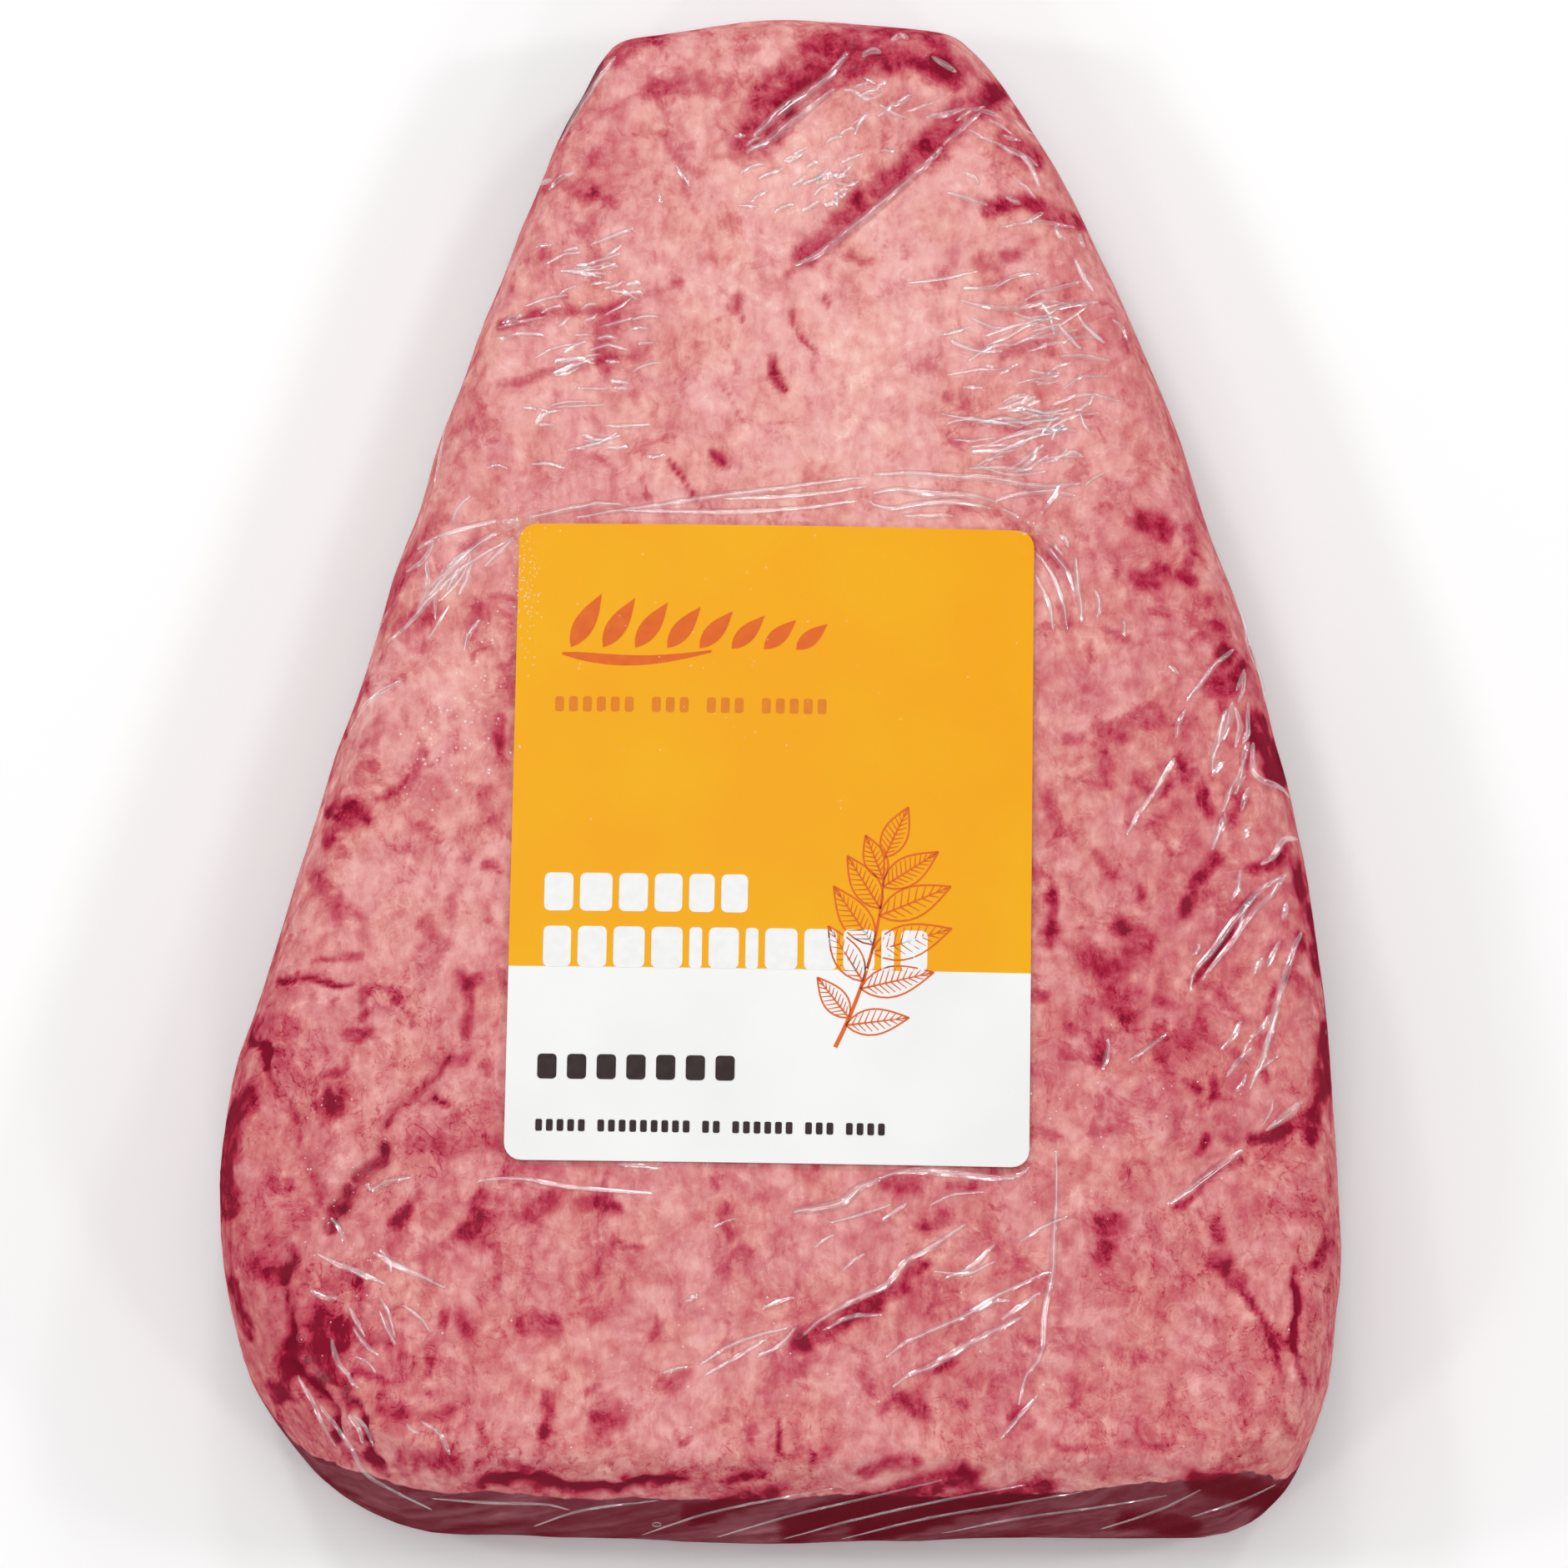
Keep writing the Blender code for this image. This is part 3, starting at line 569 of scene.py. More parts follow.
def makeMeat():
    skin = evenSkin(outside, meat["voxel"], meat["rounds"])
    points = pointsOf(skin)
    normals = normalsOf(skin)
    facing = towardsCamera(normals)
    spots = pictureSpots(points)
    plain = spots.copy()
    # every place's edge wanders, first widely and then finely
    for size, reach, seed in ((9.0, 1.0, 1), (2.6, 0.55, 3)):
        spots[:, 0] += reach * noiseAt(points, size, seed)
        spots[:, 1] += reach * noiseAt(points, size, seed + 1)
    blood = gather(spots, stains, 6.0, stainShape) * facing
    depth = gather(spots, crevices, 4.0, creviceShape) * facing
    knobbly = np.clip(0.12 + softSpots(plain, 0.0, meat["knobbly"]), 0.0, 1.0)
    # steep sides are painted darker and redder: painted shade where they turn away from the light
    blushAndShade = softSpots(plain, 0.53, meat["blushAndShade"]) + 0.04 * smoothStep((0.72 - normals[:, 2]) / 0.5)
    # which of the two solids is nearer, with a ragged line between them
    fatGap = np.array([solidSkins["fat_cap"].find_nearest(p)[3] for p in points])
    leanGap = np.array([solidSkins["lean_beef"].find_nearest(p)[3] for p in points])
    ragged = 0.9 * noiseAt(points, 7.0, 8) + 0.5 * noiseAt(points, 2.2, 9)
    lean = 0.5 + ((fatGap - leanGap) / mm + ragged) / (2.0 * meat["seamBlur"])
    lean += gather(spots, barePlaces, 6.0, stainShape) * facing
    # relief: lobes with lines between them, lumps, and the crevices; it hardly rises past the solid
    lobes = smoothStep(cellGap(points, meat["lobes"], 5) / 0.30)
    small = smoothStep(cellGap(points, meat["smallLobes"], 6) / 0.35)
    relief = (-0.40 * knobbly * (1.0 - lobes) - 0.16 * knobbly * (1.0 - small)
              + 0.22 * noiseAt(points, 9.0, 11) + (0.08 + 0.10 * knobbly) * noiseAt(points, 3.2, 12)
              + 0.05 * noiseAt(points, 1.6, 13) - 0.12) * facing - depth
    moved = points + normals * np.minimum(relief, meat["most"])[:, None] * mm
    moved[:, 2] = np.maximum(moved[:, 2], meat["under"])
    skin.vertices.foreach_set("co", moved.ravel())
    store(skin, "blood", blood)
    # how deep each crevice is, kept for the painted shade in it
    store(skin, "crevice", np.clip(depth / 1.2, 0.0, 1.0))
    store(skin, "knobbly", knobbly)
    store(skin, "blushAndShade", blushAndShade)
    store(skin, "lean", np.clip(lean, 0.0, 1.0))
    skin.update()
    return skin


def cutOut(skin, name, keepsLean, material, slot, solid):
    # one of the two meats: its share of the skin, a lip inwards and a closing face
    mesh = bmesh.new()
    mesh.from_mesh(skin)
    layer = mesh.verts.layers.float["lean"]
    others = [face for face in mesh.faces
              if (sum(v[layer] for v in face.verts) > 0.5 * len(face.verts)) != keepsLean]
    bmesh.ops.delete(mesh, geom=others, context="FACES")
    for face in mesh.faces:
        face.smooth = True
    mesh.normal_update()
    rim = [edge for edge in mesh.edges if edge.is_boundary]
    inward = {tuple(vert.co): vert.normal.copy() for edge in rim for vert in edge.verts}
    lip = bmesh.ops.extrude_edge_only(mesh, edges=rim)["geom"]
    for part in lip:
        if isinstance(part, bmesh.types.BMVert):
            part.co -= inward[tuple(part.co)] * meat["lip"]
    for edge in rim:
        edge.smooth = False
    inner = [edge for edge in mesh.edges if edge.is_boundary]
    bmesh.ops.holes_fill(mesh, edges=inner, sides=0)
    bmesh.ops.recalc_face_normals(mesh, faces=mesh.faces)
    keepPiece(bpy.data.objects.new(name, meshOf(mesh, name, material)), slot, solid)


def perMm(size):
    # a texture's scale from the size of its grain in millimetres
    return 1000.0 / size


def math2(tree, operation, a, b, clamp=False):
    return addNode(tree, "Math", {"operation": operation, "use_clamp": clamp}, at0=a, at1=b).outputs[0]


def spread(tree, value, low, high, toLow, toHigh):
    # a smooth step from one range to another
    return addNode(tree, "MapRange", {"interpolation_type": "SMOOTHSTEP"}, Value=value, From_Min=low,
                   From_Max=high, To_Min=toLow, To_Max=toHigh).outputs[0]


def rampOf(tree, value, stops):
    ramp = addNode(tree, "ValToRGB", Fac=value)
    elements = ramp.color_ramp.elements
    while len(elements) < len(stops):
        elements.new(0.5)
    for element, (position, colour) in zip(elements, stops):
        element.position = position
        element.color = linear(colour)
    return ramp.outputs[0]


fatColours = {
    "pink": [(0.0, "F8D3CC"), (0.16, "F0B6B1"), (0.34, "E39D9B"), (0.5, "D27E80"), (0.64, "C5606B"),
             (0.78, "B94156"), (0.9, "A8203E"), (1.0, "820F2A")],
    "peach": [(0.0, "F8D8C8"), (0.16, "F2BFAE"), (0.34, "E7A595"), (0.5, "D6867B"), (0.64, "C86466"),
              (0.78, "B84252"), (0.9, "A6203B"), (1.0, "820F28")],
}
leanColours = [(0.0, "640516"), (0.3, "701626"), (0.5, "78303C"), (0.75, "8A4852"), (1.0, "A8666F")]


# the sizes of the patterns in the meat, mm
pattern = {
    "wander": 9.0,  # how the connective tissue strays
    "broad": 20.0,
    "warm": 10.0,
    "patches": 9.0,
    "cloudy": 4.6,
    "wisps": 8.0,
    "fibres": 1.9,
    "lobules": 2.6,
    "curls": 6.5,  # the hair lines, wide and narrow
    "hairs": 3.6,
    "streaks": 5.0,  # slanting streaks on the cut front; their pale lines are painted film sheen
}


def meatFinish(name):
    # raw beef fat with blood in it, and raw lean: cloudy, frayed, moist under the film
    material, tree = newMaterial(name)
    place = addNode(tree, "TexCoord").outputs["Object"]

    def grain(size, detail, roughness=0.55, distortion=0.0, vector=None):
        return addNode(tree, "TexNoise", Vector=vector or drifted, Scale=perMm(pattern[size]), Detail=detail,
                       Roughness=roughness, Distortion=distortion).outputs[0]

    def centred(value, strength):
        return addNode(tree, "Math", {"operation": "MULTIPLY_ADD"}, at0=value, at1=strength,
                       at2=-0.5 * strength).outputs[0]

    def threadOf(value, middle, width, strength):
        # a thin line wherever a noise passes one value
        gap = addNode(tree, "Math", {"operation": "ABSOLUTE"},
                      at0=math2(tree, "SUBTRACT", value, middle)).outputs[0]
        return spread(tree, gap, 0.0, width, strength, 0.0)

    def attribute(layer):
        return addNode(tree, "Attribute", {"attribute_name": layer}).outputs["Fac"]

    # the pattern wanders a few millimetres, as connective tissue does
    wander = addNode(tree, "TexNoise", Vector=place, Scale=perMm(pattern["wander"]), Detail=2.0)
    drifted = addNode(tree, "VectorMath", {"operation": "MULTIPLY_ADD"}, at0=wander.outputs["Color"],
                      at1=(0.0035, 0.0035, 0.0035), at2=place).outputs[0]
    stretched = addNode(tree, "Mapping", Vector=drifted, Rotation=(0.0, 0.0, 0.5),
                        Scale=(1.0, 0.38, 1.0)).outputs[0]
    knobbly = attribute("knobbly")
    blood = attribute("blood")
    broad = grain("broad", 2.0)
    cloudy = grain("cloudy", 6.0, 0.70, 0.12)
    fibres = grain("fibres", 5.0, 0.72, 0.0, stretched)
    curls = grain("curls", 3.0, 0.5, 0.9)
    hairs = grain("hairs", 2.0, 0.5, 1.2)
    patches = spread(tree, grain("patches", 5.0, 0.68, 0.3), 0.54, 0.64, 0.0, 0.17)
    lobules = addNode(tree, "TexVoronoi", {"feature": "F1"}, Vector=drifted,
                      Scale=perMm(pattern["lobules"])).outputs["Distance"]
    wisps = addNode(tree, "TexNoise", {"noise_type": "RIDGED_MULTIFRACTAL", "normalize": True},
                    Vector=stretched, Scale=perMm(pattern["wisps"]), Detail=6.0, Roughness=0.62,
                    Offset=0.9, Gain=2.0, Distortion=0.3).outputs[0]
    # dark hair lines between lobes, here and there, and more of them where the fat is knobbly
    here = spread(tree, broad, 0.42, 0.56, 0.15, 1.0)
    here = math2(tree, "MULTIPLY", here, spread(tree, fibres, 0.44, 0.56, 0.1, 1.0))
    threads = math2(tree, "MAXIMUM", threadOf(curls, 0.47, 0.018, 1.0), threadOf(hairs, 0.5, 0.02, 0.9))
    here = math2(tree, "MULTIPLY", here, spread(tree, knobbly, 0.0, 1.0, 0.05, 0.26))
    veins = math2(tree, "MULTIPLY", threads, here)
    redness = attribute("blushAndShade")
    for part in (centred(broad, 0.36), centred(cloudy, 0.62), centred(fibres, 0.42), centred(wisps, -0.09),
                 centred(lobules, 0.20), patches, veins, threadOf(curls, 0.56, 0.014, -0.08)):
        redness = math2(tree, "ADD", redness, part)
    soaked = math2(tree, "MULTIPLY", blood, spread(tree, cloudy, 0.3, 0.6, 0.75, 1.1))
    redness = math2(tree, "ADD", redness, math2(tree, "MULTIPLY", soaked, 0.5))
    # darker and redder the deeper the crevice: painted shade in the crevices
    redness = math2(tree, "ADD", redness, math2(tree, "MULTIPLY", attribute("crevice"), 0.40), True)
    pink = rampOf(tree, redness, fatColours["pink"])
    peach = rampOf(tree, redness, fatColours["peach"])
    warm = spread(tree, grain("warm", 3.0), 0.40, 0.62, 0.0, 0.45)
    fat = addNode(tree, "Mix", {"data_type": "RGBA"}, Factor=warm, at6=pink, at7=peach).outputs[2]
    # on the cut front slanting streaks, paler and darker, run through the muscle; the pale ones are painted
    # sheen standing in for the film's streaks
    slanting = addNode(tree, "Mapping", {"vector_type": "TEXTURE"}, Vector=drifted,
                       Rotation=(0.0, -0.62, 0.0), Scale=(7.0, 1.0, 1.0)).outputs[0]
    streaks = grain("streaks", 4.0, 0.6, 0.0, slanting)
    muscle = math2(tree, "ADD", centred(streaks, 1.5), centred(fibres, 0.4))
    muscle = math2(tree, "ADD", muscle, math2(tree, "ADD", centred(broad, 0.5), 0.55))
    muscle = math2(tree, "SUBTRACT", muscle, math2(tree, "MULTIPLY", blood, 0.65), True)
    lean = rampOf(tree, muscle, leanColours)
    isLean = spread(tree, math2(tree, "ADD", attribute("lean"), centred(cloudy, 0.5)), 0.40, 0.60, 0.0, 1.0)
    colour = addNode(tree, "Mix", {"data_type": "RGBA"}, Factor=isLean, at6=fat, at7=lean).outputs[2]
    bump = addNode(tree, "Bump", Strength=0.5, Distance=0.001,
                   Height=grain("cloudy", 4.0, 0.70, vector=place)).outputs[0]
    surface = addNode(tree, "BsdfPrincipled", Base_Color=colour, Normal=bump, IOR=1.40, Roughness=0.42,
                      Specular_IOR_Level=0.0).outputs[0]
    addNode(tree, "OutputMaterial", Surface=surface)
    return material


print("stage: fat and lean")
meatSkin = makeMeat()
cutOut(meatSkin, "fatMeat", False, meatFinish("rawBeefFat"), "beef_fat", "fat_cap")
cutOut(meatSkin, "leanMeat", True, meatFinish("rawBeefLean"), "beef_lean", "lean_beef")


labelSheet = {
    "turn": math.radians(-0.9),
    "fieldLine": -22.8,  # above it yellow, below it white, mm from the middle
    "lineBlur": 0.05 * mm,
    "inkRise": 0.06 * mm,
    "inkDepth": 0.05 * mm,
    "halfSize": (44.6, 56.6),  # without the round of its corners, mm
}
labelLow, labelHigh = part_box("label")
labelMiddle = (labelLow + labelHigh) / 2
labelTree = BVHTree.FromBMesh(mergedCopy("label"))


def onLabel(x, y):
    # a place in the label's own millimetres, brought onto its top
    flat = Matrix.Rotation(labelSheet["turn"], 2) @ Vector((x, y)) * mm
    start = Vector((labelMiddle.x + flat.x, labelMiddle.y + flat.y, 0.1))
    spot = labelTree.ray_cast(start, Vector((0.0, 0.0, -1.0)))[0]
    return spot if spot is not None else Vector((start.x, start.y, labelHigh.z - 1.5 * mm))


def labelFinish():
    # coated paper: two flat fields of ink, satin, with a faint unevenness
    material, tree = newMaterial("coatedPaperLabel")
    place = addNode(tree, "TexCoord").outputs["Object"]
    local = addNode(tree, "Mapping", {"vector_type": "TEXTURE"}, Vector=place, Location=labelMiddle,
                    Rotation=(0.0, 0.0, labelSheet["turn"])).outputs[0]
    height = addNode(tree, "SeparateXYZ", Vector=local).outputs[1]
    line = labelSheet["fieldLine"] * mm
    upper = addNode(tree, "MapRange", Value=height, From_Min=line - labelSheet["lineBlur"],
                    From_Max=line + labelSheet["lineBlur"]).outputs[0]
    cloud = addNode(tree, "TexNoise", Vector=place, Scale=perMm(25.0), Detail=2.0).outputs[0]
    yellow = rampOf(tree, cloud, [(0.35, "F2A508"), (0.65, "F1AD0A")])
    white = rampOf(tree, cloud, [(0.35, "EDEDEC"), (0.65, "F3F3F2")])
    colour = addNode(tree, "Mix", {"data_type": "RGBA"}, Factor=upper, at6=white, at7=yellow).outputs[2]
    fine = addNode(tree, "TexNoise", Vector=place, Scale=perMm(1.2), Detail=3.0).outputs[0]
    bump = addNode(tree, "Bump", Strength=0.10, Distance=0.0002, Height=fine).outputs[0]
    surface = addNode(tree, "BsdfPrincipled", Base_Color=colour, Normal=bump, Specular_IOR_Level=0.1,
                      Roughness=spread(tree, fine, 0.3, 0.7, 0.38, 0.5)).outputs[0]
    addNode(tree, "OutputMaterial", Surface=surface)
    return material


def inkFinish(name, colour, darker):
    # offset ink on the label, a little uneven
    material, tree = newMaterial(name)
    place = addNode(tree, "TexCoord").outputs["Object"]
    fine = addNode(tree, "TexNoise", Vector=place, Scale=perMm(1.5), Detail=3.0).outputs[0]
    ink = rampOf(tree, fine, [(0.35, colour), (0.7, darker)])
    surface = addNode(tree, "BsdfPrincipled", Base_Color=ink, Roughness=0.42,
                      Specular_IOR_Level=0.1).outputs[0]
    addNode(tree, "OutputMaterial", Surface=surface)
    return material


def block(mesh, x, y, width, height, corner):
    # a printed bar with round corners, left bottom at x, y in the label's millimetres
    columns, rows = max(1, round(width / 2)), max(1, round(height / 2))
    verts = bmesh.ops.create_grid(mesh, x_segments=columns, y_segments=rows, size=0.5)["verts"]
    bmesh.ops.scale(mesh, verts=verts, vec=(width, height, 1.0))
    bmesh.ops.translate(mesh, verts=verts, vec=(x + width / 2, y + height / 2, 0.0))
    corners = [v for v in verts if len(v.link_edges) == 2]
    bmesh.ops.bevel(mesh, geom=corners, offset=min(corner, 0.3 * width, 0.3 * height), segments=3,
                    affect="VERTICES", profile=0.5, material=-1, offset_type="OFFSET")


def stroke(mesh, path, widths):
    # a printed line of changing width along a path in the label's millimetres
    count = len(path)
    grid = bmesh.ops.create_grid(mesh, x_segments=count - 1, y_segments=1, size=0.5)
    rows = sorted(grid["verts"], key=lambda v: (round(v.co.x, 6), v.co.y))
    for i, (x, y) in enumerate(path):
        before, after = path[max(i - 1, 0)], path[min(i + 1, count - 1)]
        across = Vector((before[1] - after[1], after[0] - before[0])).normalized() * widths[i] / 2
        rows[2 * i].co = (x - across.x, y - across.y, 0.0)
        rows[2 * i + 1].co = (x + across.x, y + across.y, 0.0)


def leaf(mesh, x, y, angle, length, width, lines):
    # a leaf drawn in outline with slanting hatches; no lines: a solid leaf
    turn = Matrix.Rotation(math.radians(angle), 2)
    steps = 9

    def spot(along, side):
        swell = math.sin(math.pi * along ** 0.8)
        flat = turn @ Vector((along * length, side * width / 2 * swell))
        return (x + flat.x, y + flat.y)

    if not lines:
        path = [spot(i / steps, 0.0) for i in range(steps + 1)]
        swells = [width * math.sin(math.pi * (i / steps) ** 0.8) for i in range(steps + 1)]
        stroke(mesh, path, [max(swell, 0.05) for swell in swells])
        return
    for side in (-1.0, 1.0):
        stroke(mesh, [spot(i / steps, side) for i in range(steps + 1)], [0.30] * (steps + 1))
    stroke(mesh, [spot(i / 4, 0.0) for i in range(5)], [0.34, 0.3, 0.26, 0.2, 0.12])
    for i in range(lines):
        along = 0.10 + 0.80 * i / (lines - 1)
        for side in (-1.0, 1.0):
            reach = 0.88 if side > 0 else 0.7
            hatch = [spot(along, 0.04 * side), spot(min(along + 0.10, 0.97), side * reach)]
            stroke(mesh, hatch, [0.22, 0.12])


def printed(name, draw, material):
    # a printed shape: drawn flat, given the ink's thickness, and laid on the label
    mesh = bmesh.new()
    draw(mesh)
    bmesh.ops.recalc_face_normals(mesh, faces=mesh.faces)
    for face in mesh.faces:
        if face.normal.z < 0:
            face.normal_flip()
    tops = list(mesh.faces)
    skirt = bmesh.ops.extrude_face_region(mesh, geom=tops)["geom"]
    raised = {part for part in skirt if isinstance(part, bmesh.types.BMVert)}
    for vert in mesh.verts:
        spot = onLabel(vert.co.x, vert.co.y)
        rise = labelSheet["inkRise"] - (0.0 if vert in raised else labelSheet["inkDepth"])
        vert.co = spot + Vector((0.0, 0.0, rise))
    bmesh.ops.recalc_face_normals(mesh, faces=mesh.faces)
    keepPiece(bpy.data.objects.new(name, meshOf(mesh, name, material)), "printed_label")


# leaves of the sprig: place on the stem, angle, length, width
sprigLeaves = [
    (3, 8, 11.0, 4.6), (4, 128, 9.0, 4.2), (8, 14, 13.0, 5.4), (9, 122, 11.5, 4.8), (13, 18, 14.5, 6.0),
    (14, 124, 12.5, 5.2), (18, 24, 13.5, 5.6), (19, 122, 11.0, 4.8), (22, 34, 11.5, 5.0),
    (23, 112, 8.5, 4.0), (26, 66, 10.0, 4.4),
]


def drawOrange(mesh):
    # a row of leaves over a long sweep stands at the head, a line of small bars below it
    for i in range(8):
        leaf(mesh, -35.5 + 5.6 * i, 34.5, 62 - 3 * i, 11.0 - 0.55 * i, 3.6 - 0.12 * i, 0)
    sweep = [(-37.0 + 2.6 * i, 33.4 - 1.5 * math.sin(i / 10 * math.pi) + 0.06 * i) for i in range(11)]
    stroke(mesh, sweep, [0.4 + 1.5 * math.sin(math.pi * (i / 10) ** 0.7) for i in range(11)])
    # a sprig with hatched leaves, part on the yellow and part on the white
    stem = [(11.5 + 0.62 * i - 0.012 * i * i, -36.5 + 1.30 * i) for i in range(27)]
    stroke(mesh, stem, [0.75 - 0.018 * i for i in range(27)])
    for i, (at, angle, length, width) in enumerate(sprigLeaves):
        leaf(mesh, stem[at][0], stem[at][1], angle, length, width, 9 + i % 3)


def barLine(mesh, x, y, words, width, height, corner, step, space):
    # a line of small bars, in groups with a space between them
    for word in words:
        for _ in range(word):
            block(mesh, x, y, width, height, corner)
            x += step
        x += space


def drawTagline(mesh):
    barLine(mesh, -38.0, 22.9, (6, 3, 3, 5), 1.5, 2.7, 0.4, 2.42, 2.3)


def drawWhite(mesh):
    for y, height, widths in ((-12.9, 6.8, (5.0, 5.6, 5.0, 4.8, 4.4, 4.6)),
                              (-22.9, 7.3, (4.8, 5.0, 5.4, 5.4, 2.2, 5.2, 2.2, 5.6, 5.6, 5.4, 2.2, 4.6))):
        x = -39.1
        for width in widths:
            block(mesh, x, y, width, height, 1.0)
            x += width + 1.15


def drawDark(mesh):
    for i in range(7):
        block(mesh, -39.6 + 5.1 * i, -42.7, 3.3, 4.4, 0.7)
    barLine(mesh, -39.7, -51.9, (5, 9, 2, 6, 3, 4), 1.15, 2.1, 0.3, 1.83, 1.5)


print("stage: label and its print")
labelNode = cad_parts["label"]
labelNode.data.materials.clear()
labelNode.data.materials.append(labelFinish())
printed("orangePrint", drawOrange, inkFinish("orangeInk", "E06A22", "DA5F1E"))
printed("smallPrint", drawTagline, inkFinish("paleOrangeInk", "DE8420", "D97A20"))
printed("whitePrint", drawWhite, inkFinish("whiteInk", "F2F2F0", "ECECEA"))
printed("darkPrint", drawDark, inkFinish("darkBrownInk", "2B1D1D", "3A2A2A"))


# all in millimetres, apart from the voxel and the rounds of smoothing
bagFilm = {
    "voxel": 1.4 * mm,
    "rounds": 12,
    "clear": 0.35,  # between the smooth meat and the film
    "uneven": 0.06,  # how much that changes, over a grain of 7 mm
    "overLabel": 0.14,  # between the label and the film
    "tent": 4.0,  # how far past the label's edge the film comes down to the meat
    "tentDrop": 0.7,
    "liftShare": 0.35,  # how much of a fold's height the film round it rises
    "liftReach": 2.4,
}
fold = {
    "step": 0.6,  # along a fold
    "across": (-1.7, -1.15, -0.8, -0.5, -0.25, 0.0, 0.25, 0.5, 0.8, 1.15, 1.7),  # in half widths
    "sunk": 0.05,  # how far its edges lie below the film
    "base": 0.12,  # how far its underside does
    "wander": 0.16,  # how far it strays from its path
}
